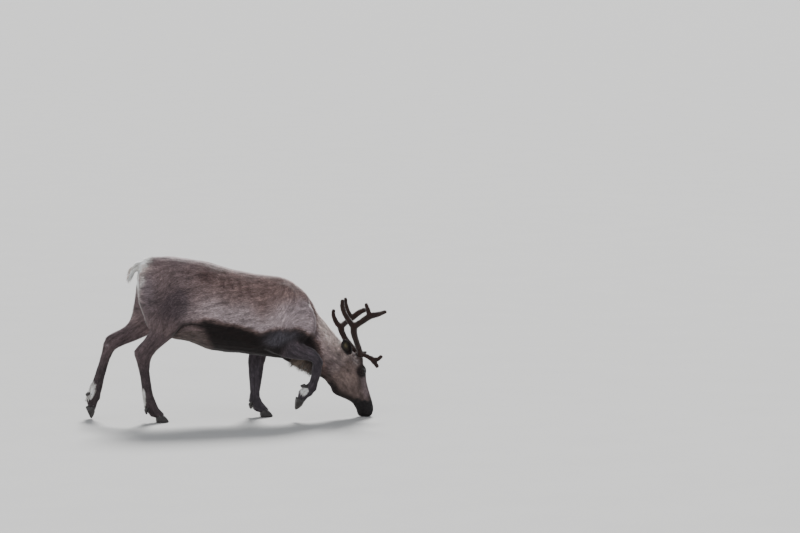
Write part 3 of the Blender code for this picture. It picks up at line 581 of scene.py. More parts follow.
def combed(mesh, steps=60):
    """The way the coat lies at each of the mesh's points, evened out so that no parting shows."""
    normals = normals_of(mesh)
    way = nearness(places_of(mesh))[2]
    mean = neighbours_mean(mesh)
    for _ in range(steps):
        for k in range(3):
            way[:, k] = 0.5 * way[:, k] + 0.5 * mean(way[:, k])
        way = unit(way - normals * np.sum(way * normals, axis=1, keepdims=True) * 0.5)
    return way


def fill_throat(places):
    """Presses what hangs under the throat, the solids' locks, up to the underside of the flesh."""
    x, y, z = places.T
    low = np.interp(x, (0.340, 0.390, 0.430, 0.475, 0.518), (0.356, 0.346, 0.326, 0.291, 0.262))
    across = np.clip(np.abs(y) / 0.098, 0, 1)
    rise = 0.16 * (1 - (1 - across**2.2) ** 0.4545)
    inside = (x > 0.36) & (x < 0.515) & (across < 0.97) & (z < low + rise) & (z > 0.22)
    places[inside, 2] = (low + rise)[inside]
    return places


def body_forms(places, near):
    """How far the trunk's and limbs' skin is raised, or pressed in where below 0."""
    x, y, z = places.T
    flat = np.stack([x, z], axis=1)
    side = smooth_step(0.03, 0.09, np.abs(y))
    trunk = near["trunk"] + 0.6 * near["fore"]
    slant = x - 0.25 * (z - 0.80)
    ribs = smooth_step(-0.20, -0.13, x) * smooth_step(0.21, 0.14, x)
    ribs *= smooth_step(0.66, 0.75, z) * smooth_step(0.93, 0.86, z)
    uneven = 0.7 + 0.5 * mottle(places, 0.06, 34)
    out = 0.0024 * np.cos(slant * math.tau / 0.060) * uneven * ribs * side * trunk
    hollow = np.hypot(x + 0.235, (z - 0.73) * 0.8)
    out -= 0.0090 * bump(hollow, 0.070) * side * near["trunk"]
    out += 0.0060 * bump(np.hypot(x + 0.400, z - 0.935), 0.040) * side
    out -= 0.0050 * bump(near_path(flat, THIGH_EDGE), 0.016) * side
    crease = near_path(flat, CREASE)
    back = near_path(flat - (-0.022, 0), CREASE)
    lines = smooth_step(0.02, 0.06, np.abs(y)) * smooth_step(0.82, 0.74, z)
    out += (0.0060 * bump(back, 0.016) - 0.0090 * bump(crease, 0.009)) * lines
    out -= 0.0035 * bump(near_path(flat, BLADE), 0.012) * side
    fold = near_path(flat, FLANK_FOLD)
    above = near_path(flat - (0, 0.020), FLANK_FOLD)
    out += (0.0060 * bump(above, 0.014) - 0.0080 * bump(fold, 0.008)) * side
    legs = near["hind"] + near["fore"]
    out += 0.0020 * mottle(places, 0.09, 3) * (near["trunk"] + near["neck"] + 0.5 * legs)
    return out


def head_forms(own):
    """How far the head's skin is raised or pressed in, at places in the head's own straight frame."""
    side = np.stack([own[:, 0], np.abs(own[:, 1]), own[:, 2]], axis=1)
    nostril = near_path(side, NOSTRIL)
    mouth = near_path(side, MOUTH)
    out = 0.0016 * bump(nostril - 0.0065, 0.0030) - 0.0095 * bump(nostril, 0.0036)
    out += 0.0014 * bump(mouth - 0.0055, 0.0035) - 0.0040 * bump(mouth, 0.0020)
    eye = np.array((0.783, 0.0600, 0.286))
    tear = [eye + (0.014, -0.006, -0.016), eye + (0.022, -0.014, -0.044)]
    out -= 0.0028 * bump(near_path(side, tear), 0.0040)
    brow = [eye + (-0.020, -0.006, 0.020), eye + (0.004, -0.010, 0.024), eye + (0.020, -0.016, 0.010)]
    out += 0.0030 * bump(near_path(side, brow), 0.0085)
    jaw = [(0.640, 0.058, 0.250), (0.665, 0.058, 0.190), (0.710, 0.050, 0.150), (0.745, 0.044, 0.130)]
    out += 0.0030 * bump(near_path(side, jaw), 0.014)
    cheek = [(0.690, 0.058, 0.285), (0.735, 0.052, 0.215), (0.775, 0.045, 0.150)]
    out -= 0.0030 * bump(near_path(side, cheek), 0.012)
    ridge = [(0.795, 0.030, 0.245), (0.820, 0.026, 0.180), (0.842, 0.020, 0.115)]
    out += 0.0018 * bump(near_path(side, ridge), 0.008)
    return out


def lids(places, eye, out_way, up):
    """Shapes the skin round an eyeball: an almond opening, thick lids round it and a fold behind them."""
    centre = np.array(eye)
    axis = unit(np.array(out_way))
    along = unit(np.cross(np.array(up), axis))
    high = np.cross(axis, along)
    reach = places - centre
    far = np.linalg.norm(reach, axis=1)
    way = reach / far[:, None]
    long, tall = EYE_OPENING
    level = way @ along / long
    height = way @ high / tall + 0.10 * level
    ring = np.hypot(level, height)
    faces = (way @ axis > 0.05) & (far < 0.042)
    edge = faces & (np.abs(ring - 1) < 0.07)
    level = level[edge] / ring[edge] * long
    height = (height[edge] / ring[edge] - 0.10 * level / long) * tall
    ahead = np.sqrt(np.clip(1 - level**2 - height**2, 0, 1))
    way[edge] = ahead[:, None] * axis + level[:, None] * along + height[:, None] * high
    places[edge] = centre + way[edge] * far[edge][:, None]
    ring[edge] = 1.0
    lid = EYE_RADIUS + 0.0016 + 0.0009 * bump(ring - 1.12, 0.12) - 0.0013 * bump(ring - 1.55, 0.16)
    inner = EYE_RADIUS - 0.0040
    target = np.where(ring < 1, inner, lid)
    share = np.where(ring < 1, 1, 1 - smooth_step(1.50, 2.30, ring)) * faces
    return places + way * ((target - far) * share)[:, None], np.where(faces, ring, 9.0)


def make_skin():
    """One surface over all the flesh, sunk below the solids by the coat's depth, with its folds and lids."""
    apart = ("antler", "claw", "ear_", "tail")
    flesh = [name for name in FRAME["nodes"] if not any(part in name for part in apart)]
    whole = copies(flesh)
    add_chain(whole, TAIL)
    turned = head_matrix()
    for flip in (1, -1):
        root = flipped(EAR_ROOT, flip).lerp(flipped(EAR_TIP, flip), -0.04)
        add_ball(whole, turned @ root, 0.0165)
    skin = remeshed("skin", whole, VOXEL)
    mesh = skin.data
    without_scraps(mesh)
    set_places(mesh, fill_throat(places_of(mesh)))
    near, down, _ = nearness(places_of(mesh))
    thin = near["head"] + near["hind"] * smooth_step(0.30, 0.50, down["hind"])
    thin += near["fore"] * smooth_step(0.25, 0.45, down["fore"]) + near["tail"]
    relaxed(mesh, 36, 1 - 0.72 * np.clip(thin, 0, 1))
    x, y, z = places_of(mesh).T
    shoulder = smooth_step(0.12, 0.20, x) * smooth_step(0.50, 0.45, x) * smooth_step(0.70, 0.76, z)
    relaxed(mesh, 24, shoulder, 0)
    co = places_of(mesh)
    co += normals_of(mesh) * body_forms(co, near)[:, None]
    co -= normals_of(mesh) * (DEPTH_SHARE * hair_length(co, near, down))[:, None]
    set_places(mesh, co)
    relaxed(mesh, 3, 0.6)
    finer(mesh, thin > 0.5)
    relaxed(mesh, 4, 1.0)
    united(skin, [ear_mesh("ear_left"), ear_mesh("ear_right")])
    mesh = skin.data
    eyes = {name: np.array(box_centre(name)) for name in ("eye_left", "eye_right")}
    co = places_of(mesh)
    own = moved(turned.inverted(), co)
    close = np.minimum(*(np.linalg.norm(co - eye, axis=1) for eye in eyes.values())) < 0.040
    finer(mesh, close | ((own[:, 2] < 0.10) & (own[:, 0] > 0.74) & (np.abs(own[:, 1]) < 0.06)))
    relaxed(mesh, 3, 1.0)
    co = places_of(mesh)
    close = np.minimum(*(np.linalg.norm(co - eye, axis=1) for eye in eyes.values())) < 0.030
    finer(mesh, close)
    relaxed(mesh, 2, 1.0)
    co = places_of(mesh)
    own = moved(turned.inverted(), co)
    near, down, _ = nearness(co)
    forms = head_forms(own) * smooth_step(0.3, 0.6, near["head"])
    co += normals_of(mesh) * forms[:, None]
    ring = np.full(len(co), 9.0)
    for name, eye in eyes.items():
        flip = 1 if "left" in name else -1
        spin = turned.to_3x3()
        co, found = lids(co, eye, spin @ flipped(EYE_OUT, flip), spin @ EYE_UP)
        ring = np.minimum(ring, found)
    co[:, 2] = np.maximum(co[:, 2], FLOOR_GAP)
    set_places(mesh, co)
    smooth_shaded(mesh)
    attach(skin, "root")
    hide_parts(*[name for name in flesh if "eye" not in name], "tail", "ear_left", "ear_right")
    return skin, ring


def blob(x, z, at, reach):
    """A soft spot on the side of the body, 1 at its middle."""
    return np.exp(-(((x - at[0]) / reach[0]) ** 2) - ((z - at[1]) / reach[1]) ** 2)


def markings(places, normals, near, down):
    """The coat's colour at each place."""
    x, y, z = places.T
    wide = mottle(places, 0.10, 21)
    side = smooth_step(0.04, 0.10, np.abs(y))
    out = mixed(colour(BACK), colour(CROUP), smooth_step(-0.05, -0.35, x))
    out = out * (1 + 0.12 * smooth_step(0.05, 0.30, x))[:, None]
    out = mixed(out, colour(SEAT), blob(x, z, (-0.545, 0.80), (0.045, 0.13)) * 0.8)
    haunch = blob(x, z, (-0.430, 0.720), (0.125, 0.115)) + blob(x, z, (-0.345, 0.745), (0.055, 0.090))
    out = mixed(out, colour(HAUNCH), np.clip(haunch, 0, 1) * 0.9 * side)
    # Dark spots on the back; the narrow ones are painted shade in the rib folds.
    dark = np.zeros(len(places))
    for at, reach, strength in BACK_SPOTS_AND_RIB_SHADE:
        dark = np.maximum(dark, strength * blob(x + 0.010 * wide, z, at, reach))
    out = mixed(out, colour(SPOT_AND_CREASE_SHADE), dark)
    # Pale band along the flank: the coat's own pale stripe, with painted top light on the flank and its
    # hollow.
    low = np.interp(x, *zip(*PALE_LOW))
    above = z - low + 0.010 * wide
    band = smooth_step(-0.010, 0.022, above) * np.exp(-((np.clip(above - 0.045, 0, 1) / 0.085) ** 2)) * side
    strength = np.interp(x, *zip(*PALE_SHARE))
    out = mixed(out, colour(PALE), band * strength)
    shoulder = smooth_step(0.20, 0.34, x) * smooth_step(0.80, 0.68, z) * smooth_step(-0.015, 0.02, above)
    out = mixed(out, colour(SHOULDER), 0.85 * shoulder * side)
    # Painted shade: the crease behind the shoulder darkened along its line.
    crease = near_path(np.stack([x - 0.010, z], axis=1), CREASE)
    out = mixed(out, colour(SPOT_AND_CREASE_SHADE), 0.7 * bump(crease, 0.016) * side * smooth_step(0.80, 0.70, z))
    under = smooth_step(0.014, -0.034, above + 0.006 * mottle(places, 0.03, 33)) * smooth_step(0.56, 0.48, x)
    under = np.maximum(under, smooth_step(0.10, 0.03, np.abs(y)) * smooth_step(0.60, 0.50, z))
    ahead = x + 0.224 - 0.5 * (0.60 - z)
    belly = under * smooth_step(-0.060, 0.040, ahead)
    out = mixed(out, colour(BELLY_AND_FOLD_SHADE), np.clip(belly, 0, 1))
    groin = smooth_step(0.585, 0.555, z) * smooth_step(-0.42, -0.37, x) * smooth_step(0.03, -0.04, ahead)
    out = mixed(out, colour(GROIN), groin * 0.85)
    elbow = blob(x, z, (0.285, 0.540), (0.090, 0.034)) + blob(x, z, (0.225, 0.500), (0.050, 0.030))
    out = mixed(out, colour(ELBOW), np.clip(1.1 * elbow, 0, 0.9) * smooth_step(0.02, 0.07, -y))
    # Painted shade: the flank's fold above the groin darkened along its line.
    fold = near_path(np.stack([x, z - 0.004], axis=1), FLANK_FOLD)
    out = mixed(out, colour(BELLY_AND_FOLD_SHADE), 0.85 * bump(fold, 0.016) * side)
    return finish_markings(out, places, normals, near, down)


def neck_colour(places):
    """Grizzled: pale along the nape, darker towards the throat, with dark patches by the jaw's angle."""
    x, _, z = places.T
    bottom = np.interp(x, (0.400, 0.475, 0.561, 0.614), (0.350, 0.286, 0.226, 0.155))
    top = np.interp(x, (0.425, 0.478, 0.524, 0.580, 0.634, 0.682), (0.806, 0.735, 0.652, 0.582, 0.514, 0.460))
    rise = (z - bottom) / (top - bottom)
    out = mixed(colour(THROAT), colour(NECK_GREY), smooth_step(0.10, 0.52, rise))
    out = mixed(out, colour(NAPE_GREY), smooth_step(0.50, 0.95, rise))
    patches = blob(x, z, (0.590, 0.345), (0.040, 0.030)) + blob(x, z, (0.655, 0.395), (0.030, 0.035))
    out = mixed(out, colour(THROAT), np.clip(0.75 * patches, 0, 1))
    return out * (1 + 0.16 * mottle(places, 0.030, 22, 9) + 0.12 * mottle(places, 0.013, 23, 9))[:, None]


def head_colour(places, own):
    """Dark brow and muzzle, brown cheeks, a grey bridge and a grizzled patch before the ear."""
    flat = np.stack([own[:, 0], own[:, 2]], axis=1)
    aside = np.abs(own[:, 1])
    out = mixed(colour(FACE), colour(CHEEK), blob(*flat.T, (0.685, 0.255), (0.075, 0.065)))
    out = mixed(out, colour(JAW), smooth_step(0.050, 0.010, near_path(flat, JAW_LINE)))
    bridge = bump(near_path(flat, BRIDGE_LINE), 0.026) * smooth_step(0.008, 0.022, aside)
    out = mixed(out, colour(BRIDGE), bridge)
    out = mixed(out, colour(DARK_FACE), 0.95 * bump(near_path(flat, BROW_LINE), 0.028))
    out = mixed(out, colour(DARK_FACE), 0.45 * bump(near_path(flat, CHEEK_LINE), 0.015))
    patch = bump(near_path(flat, EAR_PATCH_LINE), 0.018) * smooth_step(0.02, 0.045, aside)
    patch *= smooth_step(-0.35, 0.25, mottle(places, 0.016, 24))
    out = mixed(out, colour(EAR_PATCH), patch)
    for at, reach in EAR_SMUDGES:
        out = mixed(out, colour(DARK_FACE), 0.75 * blob(*flat.T, at, reach) * smooth_step(0.02, 0.04, aside))
    for eye in ("eye_left", "eye_right"):
        apart = np.linalg.norm(places - np.array(box_centre(eye)), axis=1)
        out = mixed(out, colour(DARK_FACE), smooth_step(0.050, 0.026, apart))
    out = mixed(out, colour(MUZZLE), smooth_step(0.128, 0.092, own[:, 2] + 0.012 * mottle(places, 0.03, 25)))
    return out * (1 + 0.10 * mottle(places, 0.024, 26, 9) + 0.08 * mottle(places, 0.010, 27, 9))[:, None]


def ear_colour(places, normals):
    """Grey-brown behind, with a dark rim and a dark cup that is paler in its middle."""
    turn = head_matrix()
    out = np.tile(colour(EAR_BACK), (len(places), 1))
    for flip in (1, -1):
        root, tip = (np.array(turn @ flipped(p, flip)) for p in (EAR_ROOT, EAR_TIP))
        mouth = np.array(turn.to_3x3() @ flipped(EAR_MOUTH, flip))
        axis = unit(tip - root)
        mouth = unit(mouth - axis * (mouth @ axis))
        reach = places - root
        here = np.linalg.norm(reach - (reach @ axis)[:, None] * axis, axis=1) < 0.06
        up = (reach @ axis) / np.linalg.norm(tip - root)
        cup = smooth_step(0.1, 0.5, normals @ mouth) * here
        middle = blob(up, reach @ np.cross(axis, mouth), (0.48, 0), (0.20, 0.012))
        out = mixed(out, mixed(colour(EAR_CUP), colour(EAR_HAIR), middle), cup)
        rim = np.maximum(smooth_step(-0.010, -0.002, reach @ mouth), smooth_step(0.84, 0.94, up)) * here
        out = mixed(out, colour(DARK_FACE), rim * (1 - 0.7 * cup * (middle > 0.5)))
    return out


def finish_markings(out, places, normals, near, down):
    """Neck, legs, head, ears, rump and tail, over the trunk's colours."""
    x, y, z = places.T
    own = moved(head_matrix().inverted(), places)
    neck = near["neck"] + near["head"]
    front = smooth_step(0.44, 0.52, x + 0.25 * (z - 0.65))
    out = mixed(out, neck_colour(places), smooth_step(0.15, 0.6, neck * front))
    hind = near["hind"] * smooth_step(0.16, 0.40, down["hind"])
    fore = near["fore"] * smooth_step(0.14, 0.30, down["fore"])
    leg = mixed(colour(LEG), colour(SHIN), smooth_step(0.45, 0.65, np.maximum(down["hind"], down["fore"])))
    leg = mixed(leg, colour(FORELEG), near["fore"])
    leg *= (1 + 0.10 * mottle(places, 0.030, 28))[:, None]
    out = mixed(out, leg, smooth_step(0.1, 0.7, hind + fore))
    for name, (at, reach) in WHITE_FEET.items():
        apart = np.linalg.norm((places - np.array(at)) / np.array(reach), axis=1)
        apart += 0.14 * mottle(places, 0.022, 61) + 0.10 * mottle(places, 0.008, 62)
        out = mixed(out, colour(WHITE), near[name] * smooth_step(1.15, 0.70, apart))
    behind = (places - np.array(HOCK_SPOT)) / (0.010, 0.05, 0.007)
    out = mixed(out, colour(PALE), 0.7 * np.exp(-np.sum(behind**2, axis=1)))
    line = (x - 0.700) * 0.742 - (z - 0.380) * 0.670 + 0.010 * mottle(places, 0.04, 29)
    out = mixed(out, head_colour(places, own), smooth_step(-0.030, 0.030, line) * np.clip(neck * 1.3, 0, 1))
    out = mixed(out, ear_colour(places, normals), smooth_step(0.4, 0.8, near["ear"]))
    soft = 0.012 * mottle(places, 0.022, 63) + 0.008 * mottle(places, 0.009, 64)
    grey = blob(x, z, (-0.572, 0.955), (0.040, 0.055)) * smooth_step(0.12, 0.08, np.abs(y))
    out = mixed(out, colour(NAPE_GREY), 0.75 * grey)
    height = z + 0.7 * np.clip(-0.530 - x, 0, 1) + soft
    rump = smooth_step(-0.490, -0.525, x + 0.20 * np.abs(y) + soft) * smooth_step(0.955, 0.995, height)
    rump *= smooth_step(0.110, 0.075, np.abs(y))
    seat = smooth_step(-0.30, -0.75, normals[:, 0]) * smooth_step(-0.50, -0.56, x)
    seat *= smooth_step(0.075, 0.045, np.abs(y)) * smooth_step(0.74, 0.86, z)
    # The buttocks' back edges whitened: partly the white rump hair, partly a painted backlit rim.
    rim = bump(np.abs(np.abs(y) - 0.105), 0.018) * smooth_step(-0.2, -0.6, normals[:, 0])
    rim = rim * smooth_step(0.60, 0.7, z) * smooth_step(-0.50, -0.56, x)
    out = mixed(out, colour(WHITE), np.clip(np.maximum(rump, np.maximum(seat, 0.35 * rim)), 0, 1))
    tail = smooth_step(0.3, 0.7, near["tail"])
    over = smooth_step(0.1, 0.7, normals @ np.array((-0.6, 0, 0.8))) * smooth_step(0.35, 0.6, down["tail"])
    out = mixed(out, mixed(colour(WHITE), colour(TAIL_BACK), over), tail)
    return np.clip(out, 0, 1)


# How a tuft swells along its way: (share of the way, share of the width) of each ring.
SHORT_TUFT = ((0.38, 1.0),)
LONG_TUFT = ((0.22, 0.90), (0.62, 0.75))
PATCH = 0.003
PIECE_LIMIT = 190_000


def sown(mesh, per_area):
    """Places spread evenly over a mesh, per_area of them to a square metre at each of its points."""
    co = places_of(mesh)
    corners = triangles_of(mesh)
    p, q, r = (co[corners[:, k]] for k in range(3))
    area = np.linalg.norm(np.cross(q - p, r - p), axis=1) / 2
    edge = np.cumsum(area * per_area[corners].mean(axis=1))
    count = int(edge[-1])
    mark = (np.arange(count) + RNG.random(count)) * (edge[-1] / count)
    pick = corners[np.minimum(np.searchsorted(edge, mark), len(corners) - 1)]
    u, v = RNG.random((2, count))
    over = u + v > 1
    u[over] = 1 - u[over]
    v[over] = 1 - v[over]
    share = np.stack([1 - u - v, u, v], axis=1)
    normals = normals_of(mesh)
    roots = np.einsum("nk,nkc->nc", share, co[pick])
    ways = unit(np.einsum("nk,nkc->nc", share, normals[pick]))
    nearest = pick[np.arange(count), share.argmax(axis=1)]
    return roots, ways, nearest


def tufts(name, roots, normals, along, sizes, shades, spots, rings=SHORT_TUFT, droop=0.0):
    """Closed, tapered tufts, as pieces of under 200,000 triangles; sizes is length, width and lift."""
    count = len(roots)
    length, width, lift = sizes
    along = unit(along - normals * np.sum(along * normals, axis=1, keepdims=True))
    side = np.cross(normals, along)
    sway = RNG.normal(0, 0.10, count)[:, None]
    along = unit(along + side * RNG.normal(0, 0.14, count)[:, None])
    side = np.cross(normals, along)
    rise = np.sin(lift)[:, None]
    long = length[:, None]
    stops = [t for t, _ in rings] + [1.0]
    points = [roots - normals * (0.0010 + 0.04 * long) - along * 0.06 * long]
    looks = [normals]
    for t in stops:
        middle = roots + along * long * t * np.sqrt(1 - rise**2) + side * long * sway * t * t
        middle = middle + normals * long * rise * (t - 0.42 * t * t)
        middle[:, 2] -= droop * length * t * t
        if t == 1.0:
            points.append(middle)
            looks.append(unit(normals * 0.9 + along * 0.3))
            continue
        half = side * width[:, None] / 2 * dict(rings)[t]
        thick = normals * width[:, None] * 0.20 * dict(rings)[t]
        points += [middle + half - thick * 0.5, middle + thick, middle - half - thick * 0.5]
        looks += [unit(normals + side * 0.55), normals, unit(normals - side * 0.55)]
    each = len(points)
    co = np.stack(points, axis=1)
    co[:, :, 2] = np.maximum(co[:, :, 2], FLOOR_GAP)
    dim = [0.50] + [0.72 + 0.30 * t for t, _ in rings for _ in range(3)] + [1.22]
    shade = shades[:, None, :] * np.array(dim)[None, :, None]
    across = [0.5] + [0.0, 0.5, 1.0] * len(rings) + [0.5]
    down = [0.0] + [t for t, _ in rings for _ in range(3)] + [1.0]
    uv = spots[:, None, :] + PATCH * (np.stack([across, down], axis=1)[None] - 0.5)
    faces = tuft_faces(len(rings))
    most = PIECE_LIMIT // len(faces)
    parts = max(1, math.ceil(count / most))
    made = []
    for k in range(parts):
        cut = slice(k * count // parts, (k + 1) * count // parts)
        title = name if parts == 1 else f"{name}_{k + 1}"
        mesh = bpy.data.meshes.new(title)
        corners = (faces[None] + each * np.arange(len(co[cut]))[:, None, None]).reshape(-1, 3)
        fill_mesh(mesh, co[cut].reshape(-1, 3), corners)
        layer = mesh.uv_layers.new(name="OFBake")
        layer.data.foreach_set("uv", uv[cut].reshape(-1, 2)[corners.ravel()].astype(np.float32).ravel())
        keep_colour(mesh, shade[cut].reshape(-1, 3))
        smooth_shaded(mesh)
        mesh.normals_split_custom_set_from_vertices(np.stack(looks, axis=1)[cut].reshape(-1, 3))
        made.append(add(title, mesh))
    return made


def tuft_faces(rings):
    """The triangles of one tuft: a fan at its root, bands between its rings and a fan at its tip."""
    faces = [(2, 1, 0), (3, 2, 0), (1, 3, 0)]
    for ring in range(rings - 1):
        low = 1 + 3 * ring
        for k in range(3):
            a, b = low + k, low + (k + 1) % 3
            faces += [(a, b, b + 3), (a, b + 3, a + 3)]
    low = 1 + 3 * (rings - 1)
    tip = low + 3
    faces += [(low, low + 1, tip), (low + 1, low + 2, tip), (low + 2, low, tip)]
    return np.array(faces)


def fill_mesh(mesh, co, corners):
    mesh.vertices.add(len(co))
    mesh.vertices.foreach_set("co", co.astype(np.float32).ravel())
    mesh.loops.add(corners.size)
    mesh.loops.foreach_set("vertex_index", corners.astype(np.int32).ravel())
    mesh.polygons.add(len(corners))
    mesh.polygons.foreach_set("loop_start", np.arange(0, corners.size, 3, dtype=np.int32))
    mesh.update(calc_edges=True)


def unwrap(mesh):
    """Each point's place on an unwrap of the mesh's own shape, which is made on a coarser copy."""
    spare = add("unwrap", mesh.copy())
    fewer = spare.modifiers.new("Fewer", "DECIMATE")
    fewer.ratio = min(1, UNWRAP_FACES / max(len(mesh.polygons) * 2, 1))
    coarse = bpy.data.meshes.new_from_object(spare.evaluated_get(bpy.context.evaluated_depsgraph_get()))
    spare.modifiers.clear()
    spare.data = coarse
    bpy.ops.object.select_all(action="DESELECT")
    spare.select_set(True)
    bpy.context.view_layer.objects.active = spare
    bpy.ops.object.mode_set(mode="EDIT")
    bpy.ops.mesh.select_all(action="SELECT")
    bpy.ops.mesh.quads_convert_to_tris()
    bpy.ops.uv.smart_project(angle_limit=math.radians(66), island_margin=0.004)
    bpy.ops.object.mode_set(mode="OBJECT")
    coarse = spare.data
    flat = values_of(coarse.uv_layers.active.data, "uv", 2).reshape(-1, 3, 2)
    corners = np.array([p.vertices[:] for p in coarse.polygons])
    co = places_of(coarse)
    tree = BVHTree.FromPolygons([Vector(p) for p in co], corners.tolist())
    places = places_of(mesh)
    found = [tree.find_nearest(Vector(p)) for p in places]
    face = np.array([f[2] for f in found])
    hit = np.array([f[0][:] for f in found])
    a, b, c = (co[corners[face, k]] for k in range(3))
    whole = np.linalg.norm(np.cross(b - a, c - a), axis=1) + 1e-15
    wa = np.linalg.norm(np.cross(b - hit, c - hit), axis=1) / whole
    wb = np.linalg.norm(np.cross(a - hit, c - hit), axis=1) / whole
    share = np.stack([wa, wb, np.clip(1 - wa - wb, 0, 1)], axis=1)
    bpy.data.objects.remove(spare)
    return np.einsum("nk,nkc->nc", share, flat[face])


def ear_mesh(name):
    """The solids' ear, as an even fine surface a little thinner than its solid."""
    ear = remeshed("spare_" + name, copies([name]), EAR_VOXEL)
    without_scraps(ear.data)
    relaxed(ear.data, 8, 1.0)
    co = places_of(ear.data)
    set_places(ear.data, co - normals_of(ear.data) * EAR_SINK)
    return ear


def united(obj, others):
    """The object joined with the others into one surface; the others are removed."""
    home = bpy.data.collections.new("Joining")
    bpy.context.scene.collection.children.link(home)
    for other in others:
        bpy.context.scene.collection.objects.unlink(other)
        home.objects.link(other)
    union = obj.modifiers.new("Union", "BOOLEAN")
    union.operation = "UNION"
    union.operand_type = "COLLECTION"
    union.collection = home
    union.solver = "MANIFOLD"
    made = bpy.data.meshes.new_from_object(obj.evaluated_get(bpy.context.evaluated_depsgraph_get()))
    obj.modifiers.clear()
    made.materials.clear()
    obj.data = made
    for other in others:
        bpy.data.objects.remove(other)
    bpy.data.collections.remove(home)


def fitted(pieces, nodes=()):
    """Fixes the pieces to the root body, and hides the solids that they stand for."""
    for piece in pieces:
        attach(piece, "root")
        if nodes:
            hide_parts(*nodes)


def material(name, **values):
    """A new material and its shader, with sockets set to the given values."""
    made = bpy.data.materials.new(name)
    made.use_nodes = True
    shader = made.node_tree.nodes["Principled BSDF"]
    for socket, value in values.items():
        shader.inputs[socket.replace("_", " ")].default_value = value
    return made, made.node_tree.nodes, made.node_tree.links, shader


def noise(nodes, links, scale, detail=4.0, stretch=None, rough=0.55):
    """Noise over the object's own space, squeezed along an axis by stretch."""
    made = nodes.new("ShaderNodeTexNoise")
    made.inputs["Scale"].default_value = scale
    made.inputs["Detail"].default_value = detail
    made.inputs["Roughness"].default_value = rough
    place = nodes.new("ShaderNodeTexCoord")
    mapping = nodes.new("ShaderNodeMapping")
    mapping.inputs["Scale"].default_value = stretch or (1, 1, 1)
    links.new(place.outputs["Object"], mapping.inputs["Vector"])
    links.new(mapping.outputs["Vector"], made.inputs["Vector"])
    return made.outputs["Fac"]


def ranged(nodes, links, value, low, high):
    """Maps a noise of about 0.3 to 0.7 to low and high."""
    made = nodes.new("ShaderNodeMapRange")
    made.inputs["From Min"].default_value = 0.3
    made.inputs["From Max"].default_value = 0.7
    made.inputs["To Min"].default_value = low
    made.inputs["To Max"].default_value = high
    links.new(value, made.inputs["Value"])
    return made.outputs["Result"]


def tinted(nodes, links, base, factor):
    """The base colour made lighter and darker by factor."""
    made = nodes.new("ShaderNodeVectorMath")
    made.operation = "SCALE"
    links.new(base, made.inputs[0])
    links.new(factor, made.inputs["Scale"])
    return made.outputs["Vector"]


def bumped(nodes, links, shader, height, strength, distance):
    made = nodes.new("ShaderNodeBump")
    made.inputs["Strength"].default_value = strength
    made.inputs["Distance"].default_value = distance
    links.new(height, made.inputs["Height"])
    links.new(made.outputs["Normal"], shader.inputs["Normal"])


def kept_colour(nodes):
    """The colour kept at the mesh's points."""
    kept = nodes.new("ShaderNodeAttribute")
    kept.attribute_name = "Col"
    return kept.outputs["Color"]


def hair_material(name, grain, rough, sheen, bumps=0.0):
    """Short hair: the kept colour with fine uneven streaks, a soft sheen and uneven roughness."""
    made, nodes, links, shader = material(name, Sheen_Weight=sheen, Sheen_Roughness=0.45)
    shader.inputs["Specular IOR Level"].default_value = 0.28
    kept = kept_colour(nodes)
    coarse = ranged(nodes, links, noise(nodes, links, grain / 6), 0.84, 1.16)
    fine = ranged(nodes, links, noise(nodes, links, grain, detail=6), 0.72, 1.30)
    both = nodes.new("ShaderNodeMath")
    both.operation = "MULTIPLY"
    links.new(coarse, both.inputs[0])
    links.new(fine, both.inputs[1])
    links.new(tinted(nodes, links, kept, both.outputs["Value"]), shader.inputs["Base Color"])
    uneven = ranged(nodes, links, noise(nodes, links, grain / 3), rough - 0.10, rough + 0.10)
    links.new(uneven, shader.inputs["Roughness"])
    if bumps:
        bumped(nodes, links, shader, noise(nodes, links, grain * 1.5, detail=8), bumps, 0.0015)
    return made


def tuft_width(length):
    return np.clip(0.0007 + 0.10 * length, 0.0010, 0.0034)


def coat_sizes(length):
    """Each tuft's length, width and lift, from the coat's length at its root."""
    count = len(length)
    long = length * RNG.uniform(0.75, 1.20, count)
    lift = np.radians(RNG.uniform(8, 20, count))
    return long, tuft_width(length) * RNG.uniform(0.75, 1.25, count), lift


def shaded(colours, places, way, spread, pale=0.0):
    """Each tuft's own colour: a little lighter or darker, with some pale and some dark ones."""
    count = len(colours)
    factor = 1 + spread * RNG.normal(0, 1, count)
    factor += 0.20 * streaks(places, way, 0.0075, 0.024, 31) + 0.13 * streaks(places, way, 0.020, 0.045, 32)
    odd = RNG.random(count)
    factor = np.where(odd < pale, factor * 1.55, factor)
    factor = np.where(odd > 1 - pale, factor * 0.60, factor)
    return np.clip(colours * np.clip(factor, 0.35, 2.2)[:, None], 0, 0.95)


